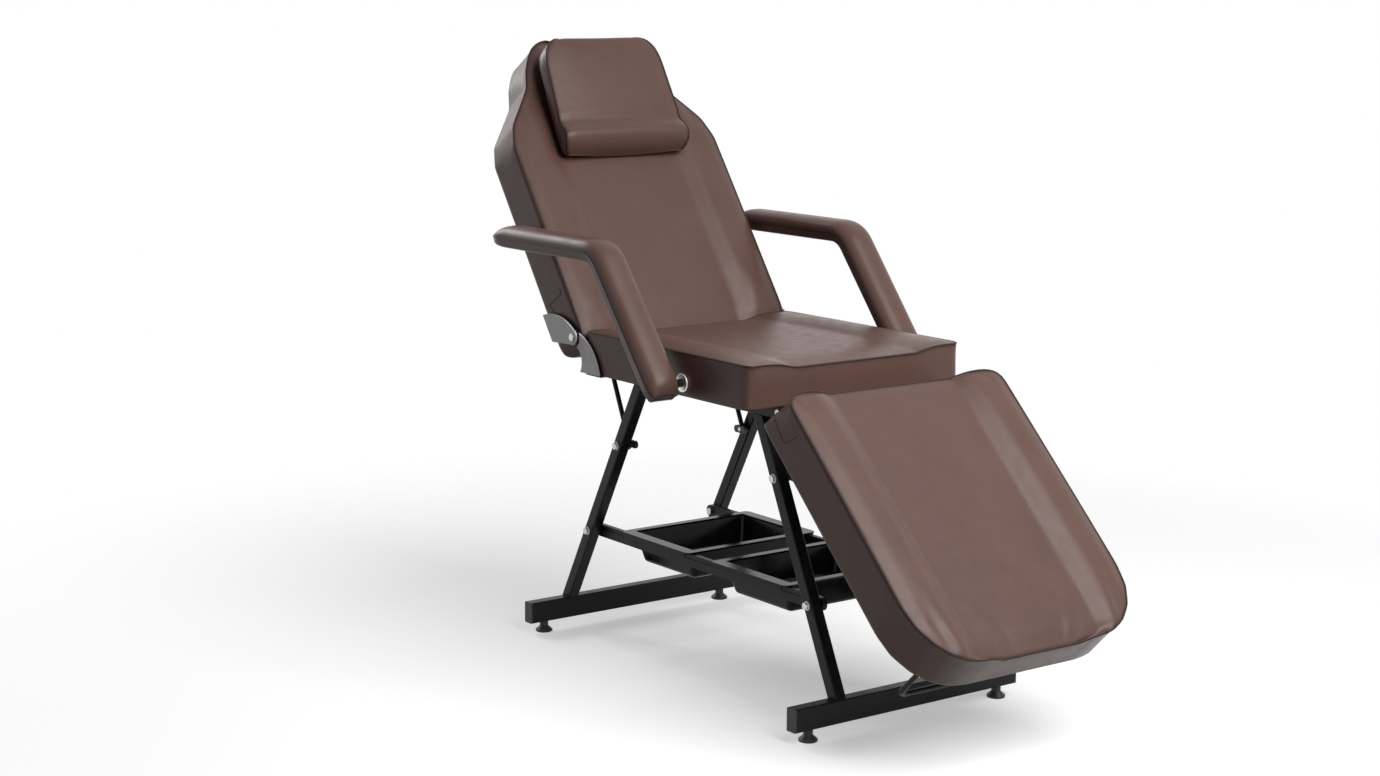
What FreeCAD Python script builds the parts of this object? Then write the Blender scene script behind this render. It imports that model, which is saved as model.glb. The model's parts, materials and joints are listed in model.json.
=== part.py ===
import FreeCAD, Part
import math
import os
from types import SimpleNamespace

import Sketcher
from FreeCAD import Placement, Rotation, Vector

# A three-section massage table: padded seat, reclining backrest and hinged legrest on a steel base.
# X runs across the table, Y from the feet (minus) to the head (plus), Z up from the floor.
# The origin is on the floor under the middle of the table. Lengths in millimetres, angles in degrees.

SIZES = (
    ("cushion_width", 526, "width of the seat, backrest and legrest"),
    ("cushion_thickness", 93, "backrest and legrest from face to back, board included"),
    ("edge_round", 14, "rounding of the cushion edges"),
    ("side_draw", 3, "how far the cushion sides are drawn in at half height"),
    ("crease_spacing", 300, "distance between the two creases of a cushion"),
    ("bolster_least", 40, "side bolsters where a cushion narrows"),
    ("centre_dish", 13, "how far the creases lie below the side bolsters"),
    ("crown", 5, "rise of each cushion panel between its edges"),
    ("board_thickness", 12, "plywood boards"),
    ("board_inset", 6, "board edge inside the cushion outline"),
    ("seat_bottom", 589, "underside of the seat above the floor"),
    ("seat_thickness", 87, "seat from its underside to its side bolsters"),
    ("seat_front", -254, "front of the seat along Y"),
    ("seat_depth", 535, "seat from front to rear"),
    ("back_angle", 55, "backrest above the horizontal"),
    ("back_hinge_gap", 29, "backrest pivot behind the seat"),
    ("back_hinge_rise", 68, "backrest pivot above the underside of the seat"),
    ("back_face", 27, "backrest face in front of its pivot"),
    ("back_tail", 24, "rounded lower end of the backrest below its pivot"),
    ("back_length", 700, "top of the backrest from its pivot"),
    ("shoulder_drop", 260, "shoulders of the backrest below its top"),
    ("head_drop", 72, "end of the shoulders below the top"),
    ("head_width", 320, "backrest width above its shoulders"),
    ("head_top_width", 240, "backrest width at its upper end"),
    ("head_corner", 38, "upper corners of the backrest"),
    ("pillow_drop", 300, "lower edge of the pillow below the top of the backrest"),
    ("pillow_height", 264, "pillow from lower to upper edge"),
    ("pillow_width", 328, "pillow at its lower edge"),
    ("pillow_top_width", 298, "pillow at its upper edge"),
    ("pillow_corner", 56, "upper corners of the pillow"),
    ("pillow_roll", 55, "thickness of the neck roll"),
    ("pillow_fold", 44, "pillow thickness above its neck roll"),
    ("pillow_top", 72, "face of the pillow above its base at the upper edge"),
    ("pillow_lift", 31, "how far the crowned back lifts the upper edges"),
    ("strap_thickness", 2, "hook-and-loop strap on the back of the pillow"),
    ("strap_width", 60, "hook-and-loop strap across"),
    ("strap_length", 90, "hook-and-loop strap along the backrest"),
    ("soft_gap", 1, "gap between the soft pieces"),
    ("leg_angle", 45, "legrest below the horizontal"),
    ("leg_hinge_gap", 17, "legrest pivot in front of the seat"),
    ("leg_board_rise", 15, "back of the legrest above its pivot when level"),
    ("legrest_start", 18, "upper end of the legrest from its pivot"),
    ("legrest_length", 580, "legrest from its upper end to its foot end"),
    ("legrest_corner", 125, "round corners at the foot end"),
    ("frame_tube", 25, "square tube of the seat frame"),
    ("frame_wall", 1.5, "tube walls"),
    ("frame_spacing", 335, "distance between the side tubes, and between the legs"),
    ("frame_front", -286, "front end of the side tubes along Y"),
    ("frame_rear", 374, "rear end of the side tubes along Y"),
    ("cross_front", -203, "front cross tube along Y"),
    ("cross_rear", 162, "rear cross tube along Y"),
    ("leg_tube", 25, "square tube of the legs"),
    ("leg_top_front", -177, "top of the front legs along Y"),
    ("leg_top_rear", 211, "top of the rear legs along Y"),
    ("tube_round", 3, "outside corner radius of the tubes"),
    ("bar_middle", 34, "middle between the floor bars along Y"),
    ("bar_spread", 880, "distance between the floor bars"),
    ("bar_length", 550, "floor bars, end caps included"),
    ("bar_width", 26, "floor bars"),
    ("bar_height", 45, "floor bars"),
    ("cap_flange", 3, "visible thickness of the tube end caps"),
    ("cap_plug", 8, "depth of the end cap inside the tube"),
    ("foot_height", 23, "underside of the floor bars above the floor"),
    ("foot_spacing", 470, "distance between the two feet of a bar"),
    ("foot_disc", 36, "diameter of the foot disc"),
    ("foot_rim", 8, "height of the foot disc"),
    ("foot_collar", 18, "diameter of the collar under the bar"),
    ("stem", 10, "diameter of the foot stem"),
    ("stem_reach", 36, "foot stem above the collar"),
    ("stem_nut", 17, "nut of the foot stem across its flats"),
    ("stem_nut_height", 8, "nut of the foot stem"),
    ("running_gap", 0.1, "radial gap round pins and stems"),
    ("rail_width", 10, "tray rails across"),
    ("rail_height", 26, "tray rails upright"),
    ("rail_middle", 228, "middle of the tray rails above the floor"),
    ("rail_groove", 5, "groove along the rail"),
    ("rail_groove_depth", 1.5, "groove along the rail"),
    ("rail_overhang", 16, "rail past its bolts"),
    ("brace_bolt_rear", 427, "brace bolts of the rear legs above the floor"),
    ("brace_bolt_front", 450, "brace bolts of the front legs above the floor"),
    ("brace_top_front", -243, "upper brace bolts at the front along Y"),
    ("brace_top_rear", 350, "upper brace bolts at the rear along Y"),
    ("brace_rod", 10, "brace rods"),
    ("brace_eye", 22, "flattened ends of the braces"),
    ("brace_eye_thickness", 5, "flattened ends of the braces"),
    ("bolt", 8, "frame bolts"),
    ("bolt_head", 13, "bolt heads and nuts across their flats"),
    ("bolt_head_height", 5.5, "bolt heads"),
    ("nut_height", 6.5, "nuts"),
    ("washer", 17, "washers"),
    ("washer_thickness", 1.6, "washers"),
    ("wing_span", 36, "wing nuts from tip to tip"),
    ("wing_hub", 16, "wing nut hubs"),
    ("wing_height", 12, "wing nut hubs"),
    ("wing_thickness", 6, "wings"),
    ("tray_length", 232, "tray rims along Y"),
    ("tray_width", 332, "tray rims along X"),
    ("tray_depth", 60, "tray bodies below their rims"),
    ("tray_draft", 14, "slope of the tray walls"),
    ("tray_wall", 2.5, "tray walls"),
    ("tray_round", 12, "corners of the trays"),
    ("tray_rim", 4, "thickness of the tray rims"),
    ("tray_ledge", 14, "ends of the rim outside the tray body"),
    ("tray_lip", 6, "turned-down edge of the rim"),
    ("tray_rail_gap", 2, "tray body inside the rails"),
    ("tray_front", -133, "middle of the front tray along Y"),
    ("tray_rear", 173, "middle of the rear tray along Y"),
    ("hinge_gap", 0.5, "gaps between the hinge plates"),
    ("hinge_plate", 3, "hinge plates"),
    ("hinge_cover", 3, "hinge covers"),
    ("hinge_ear", 16, "radius of the hinge ears"),
    ("hinge_flange", 58, "hinge flanges under the boards"),
    ("horn_length", 64, "lower hinge plate along the seat"),
    ("horn_foot", 4, "lower hinge plate in front of the rear of the seat"),
    ("fan_reach", 88, "upper hinge plate along the backrest"),
    ("fan_heel", 26, "lower corner of the upper hinge plate"),
    ("rivet", 8, "backrest hinge rivets"),
    ("rivet_head", 15, "backrest hinge rivets"),
    ("rivet_head_height", 2, "backrest hinge rivets"),
    ("arm_angle", 5, "thickness of the legrest arms"),
    ("arm_depth", 30, "legrest arms below the board"),
    ("arm_length", 330, "legrest arms along the board"),
    ("arm_flange", 30, "legrest arm flanges"),
    ("arm_gap", 1.5, "gap between legrest arm and side tube"),
    ("pivot_bolt", 10, "legrest pivot bolts"),
    ("pivot_bolt_head", 17, "legrest pivot bolts across their flats"),
    ("bail_rod", 10, "lift bail under the legrest"),
    ("bail_width", 352, "lift bail across"),
    ("bail_drop", 126, "lift bail below the board"),
    ("bail_bend", 22, "bends of the lift bail"),
    ("bail_place", 520, "lift bail from the upper end of the legrest"),
    ("bail_plate", 46, "plates that hold the lift bail"),
    ("bail_plate_thickness", 3, "plates that hold the lift bail"),
    ("armrest_middle", 314, "armrest middle from the middle of the table"),
    ("armrest_width", 74, "armrest pads"),
    ("armrest_thickness", 44, "armrest pads"),
    ("armrest_pivot", -56, "armrest pivot along Y"),
    ("armrest_pivot_rise", 26, "armrest pivot above the underside of the seat"),
    ("armrest_rise", 238, "armrest bend above its pivot"),
    ("armrest_back", 190, "armrest bend behind its pivot"),
    ("armrest_length", 365, "armrest from its bend to its rear tip"),
    ("armrest_bend", 62, "radius of the armrest bend"),
    ("armrest_toe", 26, "pad past the pivot"),
    ("armrest_core", 18, "steel tube in the armrest"),
    ("armrest_core_inset", 30, "end of the steel tube before the rear tip"),
    ("pin", 16, "armrest pins"),
    ("pin_reach", 60, "armrest pin inside the seat"),
    ("socket_wall", 3, "armrest sockets in the seat"),
    ("socket_ring", 36, "armrest rings on the seat side"),
    ("socket_ring_thickness", 5, "armrest rings on the seat side"),
)

doc = FreeCAD.newDocument("massage_table")
sheet = doc.addObject("Spreadsheet::Sheet", "Sizes")
for row, (alias, number, meaning) in enumerate(SIZES, start=1):
    sheet.set(f"A{row}", meaning)
    sheet.set(f"B{row}", str(number))
    sheet.setAlias(f"B{row}", alias)
doc.recompute()

SIDES = {"left": 1, "right": -1}
SLOPE_STEPS = (0.25, 0.5, 0.75, 1)
NODES = []


class Dim:
    """A number together with the sheet formula that it comes from."""

    def __init__(self, number, formula):
        self.number = number
        self.formula = formula

    def __add__(self, other):
        return combined(self, "+", other)

    def __radd__(self, other):
        return combined(other, "+", self)

    def __sub__(self, other):
        return combined(self, "-", other)

    def __rsub__(self, other):
        return combined(other, "-", self)

    def __mul__(self, other):
        return combined(self, "*", other)

    def __rmul__(self, other):
        return combined(other, "*", self)

    def __truediv__(self, other):
        return combined(self, "/", other)

    def __neg__(self):
        return combined(0, "-", self)


def as_dim(value):
    """A plain number becomes a Dim of itself."""
    if isinstance(value, Dim):
        return value
    return Dim(float(value), f"({float(value)!r})")


def combined(first, sign, second):
    """Two values joined by a sign, as a number and as a formula."""
    a = as_dim(first)
    b = as_dim(second)
    results = {
        "+": lambda: a.number + b.number,
        "-": lambda: a.number - b.number,
        "*": lambda: a.number * b.number,
        "/": lambda: a.number / b.number,
    }
    return Dim(results[sign](), f"({a.formula} {sign} {b.formula})")


def root(value):
    """Square root of a Dim."""
    return Dim(math.sqrt(value.number), f"sqrt({value.formula})")


def number(value):
    """The number of a Dim or of a plain value."""
    return as_dim(value).number


size = SimpleNamespace()
for alias, _, _ in SIZES:
    setattr(size, alias, Dim(float(sheet.get(alias)), f"Sizes.{alias}"))


# Places that several pieces share
cushion_half = size.cushion_width / 2
crease = size.crease_spacing / 2
seat_rear = size.seat_front + size.seat_depth
frame_low = size.seat_bottom - size.frame_tube
frame_mid = size.seat_bottom - size.frame_tube / 2
frame_half = size.frame_spacing / 2
tube_inner = frame_half - size.frame_tube / 2
tube_outer = frame_half + size.frame_tube / 2
leg_inner = frame_half - size.leg_tube / 2
leg_outer = frame_half + size.leg_tube / 2
bar_top = size.foot_height + size.bar_height
bar_front = size.bar_middle - size.bar_spread / 2
bar_rear = size.bar_middle + size.bar_spread / 2
rail_top = size.rail_middle + size.rail_height / 2
back_pivot_y = seat_rear + size.back_hinge_gap
back_pivot_z = size.seat_bottom + size.back_hinge_rise
back_low = size.back_face - size.cushion_thickness
shoulder_height = size.back_length - size.shoulder_drop
head_height = size.back_length - size.head_drop
pillow_bottom = size.back_length - size.pillow_drop
head_dish = (size.centre_dish - size.crown) * size.head_width / size.cushion_width
strap_face = size.back_face - head_dish + size.soft_gap / 2
leg_pivot_y = size.seat_front - size.leg_hinge_gap
leg_pivot_z = frame_mid
arm_pivot_z = size.seat_bottom + size.armrest_pivot_rise
bolt_hole = size.bolt / 2 + size.running_gap
hinge_plane = cushion_half + size.hinge_gap
LEGS = {
    "front": (bar_front, size.leg_top_front),
    "rear": (bar_rear, size.leg_top_rear),
}
BRACES = {
    "front": (size.brace_bolt_front, size.brace_top_front),
    "rear": (size.brace_bolt_rear, size.brace_top_rear),
}


def leg_y(end, height):
    """Y of a leg's middle line at a height."""
    low, high = LEGS[end]
    return low + (high - low) * (height - bar_top) / (frame_low - bar_top)


def bind(thing, name, value):
    """Set a property of a feature from a size."""
    thing.setExpression(name, as_dim(value).formula)


def place(thing, x=0, y=0, z=0):
    """Put a feature at a point."""
    for axis, value in zip("xyz", (x, y, z)):
        bind(thing, f"Placement.Base.{axis}", value)


def tilt(thing, angle):
    """Turn a feature about X by an angle from the sheet."""
    thing.Placement = Placement(thing.Placement.Base, Rotation(Vector(1, 0, 0), number(angle)))
    bind(thing, "Placement.Rotation.Angle", angle)


def node(label, thing):
    """Name a finished sub-part and keep it for the export."""
    thing.Label = label
    NODES.append(thing)
    return thing


def box(length, width, height, x, y, z):
    """A block from its lowest corner."""
    block = doc.addObject("Part::Box", "Block")
    bind(block, "Length", length)
    bind(block, "Width", width)
    bind(block, "Height", height)
    place(block, x, y, z)
    return block


def cylinder(radius, length, x, y, z, axis="Z"):
    """A round bar from the middle of its first end."""
    bar = doc.addObject("Part::Cylinder", "Round")
    bind(bar, "Radius", radius)
    bind(bar, "Height", length)
    turns = {
        "X": Rotation(Vector(0, 1, 0), 90),
        "Y": Rotation(Vector(1, 0, 0), -90),
        "Z": Rotation(),
    }
    bar.Placement = Placement(Vector(), turns[axis])
    place(bar, x, y, z)
    return bar


def fuse(*shapes):
    """Several pieces joined into one."""
    joined = doc.addObject("Part::MultiFuse", "Joined")
    joined.Shapes = list(shapes)
    return joined


def cut(base, *tools):
    """A piece with others taken out of it."""
    for tool in tools:
        remaining = doc.addObject("Part::Cut", "Remaining")
        remaining.Base = base
        remaining.Tool = tool
        base = remaining
    return base


def group(label, *things):
    """A node of several like solids."""
    together = doc.addObject("Part::Compound", "Group")
    together.Links = list(things)
    return node(label, together)


def rounded(base, radius, chosen):
    """A Part feature with the chosen edges rounded."""
    base.recompute()
    fillet = doc.addObject("Part::Fillet", "Rounded")
    fillet.Base = base
    edges = enumerate(base.Shape.Edges, start=1)
    fillet.Edges = [(index, number(radius), number(radius)) for index, edge in edges if chosen(edge)]
    return fillet


def straight(edge):
    """The direction of a straight edge, or nothing for a curved one."""
    if edge.Degenerated or len(edge.Vertexes) < 2:
        return None
    run = edge.Vertexes[1].Point - edge.Vertexes[0].Point
    if run.Length < edge.Length * 0.999999:
        return None
    return run.normalize()


def along(axis):
    """A test for straight edges along an axis."""
    def test(edge):
        direction = straight(edge)
        return direction is not None and abs(direction.dot(axis)) > 0.999
    return test


# Sketched bodies
def new_body(name):
    return doc.addObject("PartDesign::Body", name)


def sketch_on(body, role, offset=0):
    """A sketch on one of its body's origin planes, moved along the plane's normal."""
    plane = [feature for feature in body.Origin.OriginFeatures if feature.Role == role][0]
    sketch = body.newObject("Sketcher::SketchObject", "Sketch")
    sketch.AttachmentSupport = (plane, [""])
    sketch.MapMode = "FlatFace"
    bind(sketch, "AttachmentOffset.Base.z", offset)
    return sketch


def pin_point(sketch, geometry, position, x, y):
    """Hold a sketch point at x and y from the sketch's origin."""
    for kind, value in (("DistanceX", x), ("DistanceY", y)):
        rule = Sketcher.Constraint(kind, -1, 1, geometry, position, number(value))
        index = sketch.addConstraint(rule)
        bind(sketch, f"Constraints[{index}]", value)


def flat(x, y):
    return Vector(number(x), number(y), 0)


def add_arc(sketch, start, via, end):
    """An arc through three points. Returns its index and the positions of its start and end."""
    curve = Part.ArcOfCircle(start, via, end)
    circle = Part.Circle(curve.Center, Vector(0, 0, 1), curve.Radius)
    anticlockwise = (via - start).cross(end - via).z > 0
    first, last = (start, end) if anticlockwise else (end, start)
    arc = Part.ArcOfCircle(circle, circle.parameter(first), circle.parameter(last))
    index = sketch.addGeometry(arc)
    return (index, 1, 2) if anticlockwise else (index, 2, 1)


def draw(sketch, start, steps, closed=True):
    """Lines to (x, y) and arcs by (via_x, via_y, x, y), drawn one after another from start."""
    here = start
    ends = []
    for step in steps:
        goal = step[-2:]
        if len(step) == 2:
            index = sketch.addGeometry(Part.LineSegment(flat(*here), flat(*goal)))
            ends.append((index, 1, 2))
        else:
            ends.append(add_arc(sketch, flat(*here), flat(*step[:2]), flat(*goal)))
            mark = sketch.addGeometry(Part.Point(flat(*step[:2])), True)
            sketch.addConstraint(Sketcher.Constraint("PointOnObject", mark, 1, ends[-1][0]))
            pin_point(sketch, mark, 1, *step[:2])
        here = goal
    corners = [start] + [step[-2:] for step in steps]
    for order, (index, first, last) in enumerate(ends):
        if order > 0 or closed:
            before, _, before_last = ends[order - 1]
            sketch.addConstraint(Sketcher.Constraint("Coincident", before, before_last, index, first))
        pin_point(sketch, index, first, *corners[order])
    if not closed:
        pin_point(sketch, ends[-1][0], ends[-1][2], *corners[-1])
    return sketch


def draw_circle(sketch, radius, x, y):
    index = sketch.addGeometry(Part.Circle(flat(x, y), Vector(0, 0, 1), number(radius)))
    pin_point(sketch, index, 3, x, y)
    rule = sketch.addConstraint(Sketcher.Constraint("Radius", index, number(radius)))
    bind(sketch, f"Constraints[{rule}]", radius)
    return sketch


def rectangle(x0, y0, x1, y1):
    """Start and steps of a rectangle between two corners."""
    return (x0, y0), [(x1, y0), (x1, y1), (x0, y1), (x0, y0)]


def settle(*features):
    """Work out the named features, and only those, in order."""
    for feature in features:
        feature.recompute()


def pad(body, sketch, length, side="One side"):
    feature = body.newObject("PartDesign::Pad", "Pad")
    feature.Profile = sketch
    feature.SideType = side
    bind(feature, "Length", length)
    settle(sketch, feature)
    return feature


def pocket(body, sketch, length, side="Symmetric"):
    feature = body.newObject("PartDesign::Pocket", "Pocket")
    feature.Profile = sketch
    feature.SideType = side
    bind(feature, "Length", length)
    settle(sketch, feature)
    return feature


def fillet(body, feature, radius, chosen):
    """Round the chosen edges of a body's last feature."""
    names = [f"Edge{i}" for i, edge in enumerate(feature.Shape.Edges, start=1) if chosen(edge)]
    blend = body.newObject("PartDesign::Fillet", "Fillet")
    blend.Base = (feature, names)
    bind(blend, "Radius", radius)
    settle(blend)
    return blend


def plate(profile, thickness, hole=None):
    """A flat piece in the YZ plane, its thickness shared by both sides of the plane."""
    body = new_body("Plate")
    sketch = draw(sketch_on(body, "YZ_Plane"), *profile)
    if hole:
        draw_circle(sketch, *hole)
    pad(body, sketch, thickness, "Symmetric")
    return body


# Base: floor bars, feet, legs and seat frame
def square_tube(length, width, height, wall, x, y, z, axis):
    """A tube with round corners along X or Y, from its lowest corner."""
    outer = box(length if axis == "X" else width, width if axis == "X" else length, height, x, y, z)
    direction = Vector(1, 0, 0) if axis == "X" else Vector(0, 1, 0)
    outer = rounded(outer, size.tube_round, along(direction))
    if axis == "X":
        inner = box(length, width - 2 * wall, height - 2 * wall, x, y + wall, z + wall)
    else:
        inner = box(width - 2 * wall, length, height - 2 * wall, x + wall, y, z + wall)
    return cut(outer, inner)


def floor_bar(end, y):
    length = size.bar_length - 2 * size.cap_flange
    low = size.foot_height
    tube = square_tube(length, size.bar_width, size.bar_height, size.frame_wall,
                       -length / 2, y - size.bar_width / 2, low, "X")
    holes = [cylinder(size.stem / 2 + size.running_gap, 2 * size.frame_wall,
                      side * size.foot_spacing / 2, y, low - size.frame_wall / 2)
             for side in SIDES.values()]
    return node(f"floor_bar_{end}", cut(tube, *holes))


def end_cap(width, height, out, x, y, z, axis):
    """A plastic plug with a flange, for a tube end whose middle is at x, y, z and that faces out."""
    wall = size.frame_wall + size.running_gap
    flange = size.cap_flange
    deep = size.cap_plug
    if axis == "X":
        face = box(flange, width, height, x if out > 0 else x - flange, y - width / 2, z - height / 2)
        face = rounded(face, size.tube_round, along(Vector(1, 0, 0)))
        plug = box(deep, width - 2 * wall, height - 2 * wall, x - deep if out > 0 else x,
                   y - width / 2 + wall, z - height / 2 + wall)
    else:
        face = box(width, flange, height, x - width / 2, y if out > 0 else y - flange, z - height / 2)
        face = rounded(face, size.tube_round, along(Vector(0, 1, 0)))
        plug = box(width - 2 * wall, deep, height - 2 * wall, x - width / 2 + wall,
                   y - deep if out > 0 else y, z - height / 2 + wall)
    return fuse(face, plug)


def floor_bars():
    half = size.bar_length / 2 - size.cap_flange
    caps = []
    for end, y in (("front", bar_front), ("rear", bar_rear)):
        floor_bar(end, y)
        for side in SIDES.values():
            caps.append(end_cap(size.bar_width, size.bar_height, side, side * half, y,
                                size.foot_height + size.bar_height / 2, "X"))
    group("floor_bar_caps", *caps)


def feet():
    """Four levelling feet: a disc, a collar under the bar, and a stem in a welded nut."""
    nuts = []
    for end, y in (("front", bar_front), ("rear", bar_rear)):
        for name, side in SIDES.items():
            x = side * size.foot_spacing / 2
            node(f"foot_{end}_{name}", foot(x, y))
            nuts.append(stem_nut(x, y))
    group("foot_nuts", *nuts)


def foot(x, y):
    """A foot turned from its half section."""
    body = new_body("Foot")
    disc = size.foot_disc / 2
    slope = size.foot_rim / 2
    steps = [(disc - 1, 0), (disc, 1), (disc, slope), (size.foot_collar / 2, size.foot_rim + slope),
             (size.foot_collar / 2, size.foot_height), (size.stem / 2, size.foot_height),
             (size.stem / 2, size.foot_height + size.stem_reach), (0, size.foot_height + size.stem_reach),
             (0, 0)]
    sketch = draw(sketch_on(body, "XZ_Plane"), (0, 0), steps)
    turned = body.newObject("PartDesign::Revolution", "Turned")
    turned.Profile = sketch
    turned.ReferenceAxis = (sketch, ["V_Axis"])
    turned.Angle = 360
    place(body, x, y, 0)
    return body


def stem_nut(x, y):
    """A hexagon nut on the bar's lower wall, round the foot stem."""
    low = size.foot_height + size.frame_wall
    prism = doc.addObject("Part::Prism", "Hexagon")
    prism.Polygon = 6
    bind(prism, "Circumradius", size.stem_nut / math.sqrt(3))
    bind(prism, "Height", size.stem_nut_height)
    place(prism, x, y, low)
    return cut(prism, cylinder(size.stem / 2 + size.running_gap, size.stem_nut_height, x, y, low))


def leg(end, name, side):
    """A slanted square tube, cut level at the floor bar and at the seat frame."""
    low_y, high_y = LEGS[end]
    lean = (high_y - low_y) / (frame_low - bar_top)
    stretch = root(1 + lean * lean)
    half = size.leg_tube / 2 * stretch
    bore = (size.leg_tube / 2 - size.frame_wall) * stretch
    body = new_body("Leg")
    shape = [(low_y + half, bar_top), (high_y + half, frame_low), (high_y - half, frame_low),
             (low_y - half, bar_top)]
    outer = pad(body, draw(sketch_on(body, "YZ_Plane"), (low_y - half, bar_top), shape),
                size.leg_tube, "Symmetric")
    slant = Vector(0, number(high_y - low_y), number(frame_low - bar_top)).normalize()
    fillet(body, outer, size.tube_round, along(slant))
    inside = [(low_y + bore, bar_top), (high_y + bore, frame_low), (high_y - bore, frame_low),
              (low_y - bore, bar_top)]
    pocket(body, draw(sketch_on(body, "YZ_Plane"), (low_y - bore, bar_top), inside),
           size.leg_tube - 2 * size.frame_wall)
    holes = sketch_on(body, "YZ_Plane")
    for height in (size.rail_middle, BRACES[end][0]):
        draw_circle(holes, bolt_hole, leg_y(end, height), height)
    pocket(body, holes, 2 * size.leg_tube)
    place(body, side * frame_half)
    return node(f"leg_{end}_{name}", body)


def seat_frame():
    """Two side tubes with their end caps, and two cross tubes between them."""
    length = size.frame_rear - size.frame_front
    tube = size.frame_tube
    caps = []
    for name, side in SIDES.items():
        left = side * frame_half - tube / 2
        hollow = square_tube(length, tube, tube, size.frame_wall, left, size.frame_front, frame_low, "Y")
        holes = [(size.brace_top_front, bolt_hole), (size.brace_top_rear, bolt_hole),
                 (leg_pivot_y, size.pivot_bolt / 2 + size.running_gap)]
        drills = [cylinder(radius, tube, left, y, frame_mid, "X") for y, radius in holes]
        node(f"frame_side_tube_{name}", cut(hollow, *drills))
        for y, out in ((size.frame_front, -1), (size.frame_rear, 1)):
            caps.append(end_cap(tube, tube, out, side * frame_half, y, frame_mid, "Y"))
    group("frame_tube_caps", *caps)
    for end, y in (("front", size.cross_front), ("rear", size.cross_rear)):
        cross = square_tube(2 * tube_inner, tube, tube, size.frame_wall, -tube_inner, y - tube / 2,
                            frame_low, "X")
        node(f"frame_cross_tube_{end}", cross)


def tray_rail(name, side):
    """A flat rail with round ends and a groove on its outer face, bolted inside the legs."""
    front = leg_y("front", size.rail_middle) - size.rail_overhang
    rear = leg_y("rear", size.rail_middle) + size.rail_overhang
    low = size.rail_middle - size.rail_height / 2
    radius = size.rail_height / 2
    profile = (front + radius, low), [
        (rear - radius, low),
        (rear, size.rail_middle, rear - radius, rail_top),
        (front + radius, rail_top),
        (front, size.rail_middle, front + radius, low),
    ]
    bar = plate(profile, size.rail_width)
    middle = side * (leg_inner - size.rail_width / 2)
    place(bar, middle)
    deep = size.rail_groove_depth
    groove = box(deep, rear - front, size.rail_groove,
                 middle - deep / 2 + side * (size.rail_width - deep) / 2, front,
                 size.rail_middle + size.rail_groove / 2)
    drills = [cylinder(bolt_hole, size.rail_width, middle - size.rail_width / 2,
                       leg_y(end, size.rail_middle), size.rail_middle, "X") for end in LEGS]
    return node(f"tray_rail_{name}", cut(bar, groove, *drills))


def brace(end, name, side):
    """A rod with flattened ends, from a leg to the end of its side tube."""
    height, top_y = BRACES[end]
    low = (leg_y(end, height), height)
    high = (top_y, frame_mid)
    eye = size.brace_eye_thickness
    face = side * leg_inner
    start = face if side < 0 else face - eye
    run_y = high[0] - low[0]
    run_z = high[1] - low[1]
    rod_x = side * (leg_inner - eye - size.brace_rod / 2 + eye / 2)
    rod = cylinder(size.brace_rod / 2, root(run_y * run_y + run_z * run_z), rod_x, *low)
    direction = Vector(0, number(run_y), number(run_z))
    rod.Placement = Placement(rod.Placement.Base, Rotation(Vector(0, 0, 1), direction))
    eyes = [cylinder(size.brace_eye / 2, eye, start, y, z, "X") for y, z in (low, high)]
    clear = size.brace_rod + eye
    drills = [cylinder(size.washer / 2 + size.soft_gap, clear,
                       start - clear if side > 0 else start + eye, y, z, "X") for y, z in (low, high)]
    holes = [cylinder(bolt_hole, eye, start, y, z, "X") for y, z in (low, high)]
    return node(f"brace_{end}_{name}", cut(fuse(rod, *eyes), *drills, *holes))


# Fasteners
def bolt_along_x(side, outside, inside, y, z, shank, flats, head, washer=None):
    """A hexagon bolt from its head outside to its shank's end inside, with a washer under the head."""
    thickness = washer[1] if washer else as_dim(0)
    prism = doc.addObject("Part::Prism", "Hexagon")
    prism.Polygon = 6
    bind(prism, "Circumradius", flats / math.sqrt(3))
    bind(prism, "Height", head)
    prism.Placement = Placement(Vector(), Rotation(Vector(0, 1, 0), 90))
    head_x = outside + thickness if side > 0 else -outside - thickness - head
    place(prism, head_x, y, z)
    length = outside + thickness - inside
    pieces = [prism, cylinder(shank / 2, length, inside if side > 0 else -inside - length, y, z, "X")]
    if washer:
        ring_x = outside if side > 0 else -outside - thickness
        pieces.append(cylinder(washer[0] / 2, thickness, ring_x, y, z, "X"))
    return fuse(*pieces)


def nut_along_x(side, face, y, z, shank, flats, height):
    """A hexagon nut whose outer face is at face, on the inner side of a tube."""
    prism = doc.addObject("Part::Prism", "Hexagon")
    prism.Polygon = 6
    bind(prism, "Circumradius", flats / math.sqrt(3))
    bind(prism, "Height", height)
    prism.Placement = Placement(Vector(), Rotation(Vector(0, 1, 0), 90))
    start = face - height if side > 0 else -face
    place(prism, start, y, z)
    return cut(prism, cylinder(shank / 2 + size.running_gap, height, start, y, z, "X"))


def wing_nut(side, face, y, z):
    """A hub with two round wings, turned level."""
    start = face - size.wing_height if side > 0 else -face
    wing = start if side > 0 else start + size.wing_height - size.wing_thickness
    lobe = size.wing_hub / 2
    reach = size.wing_span / 2 - lobe
    hub = cylinder(size.wing_hub / 2, size.wing_height, start, y, z, "X")
    bridge = box(size.wing_thickness, 2 * reach, lobe, wing, y - reach, z - lobe / 2)
    lobes = [cylinder(lobe, size.wing_thickness, wing, y + way * reach, z, "X") for way in (1, -1)]
    bore = cylinder(size.bolt / 2 + size.running_gap, size.wing_height, start, y, z, "X")
    return cut(fuse(hub, bridge, *lobes), bore)


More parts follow.
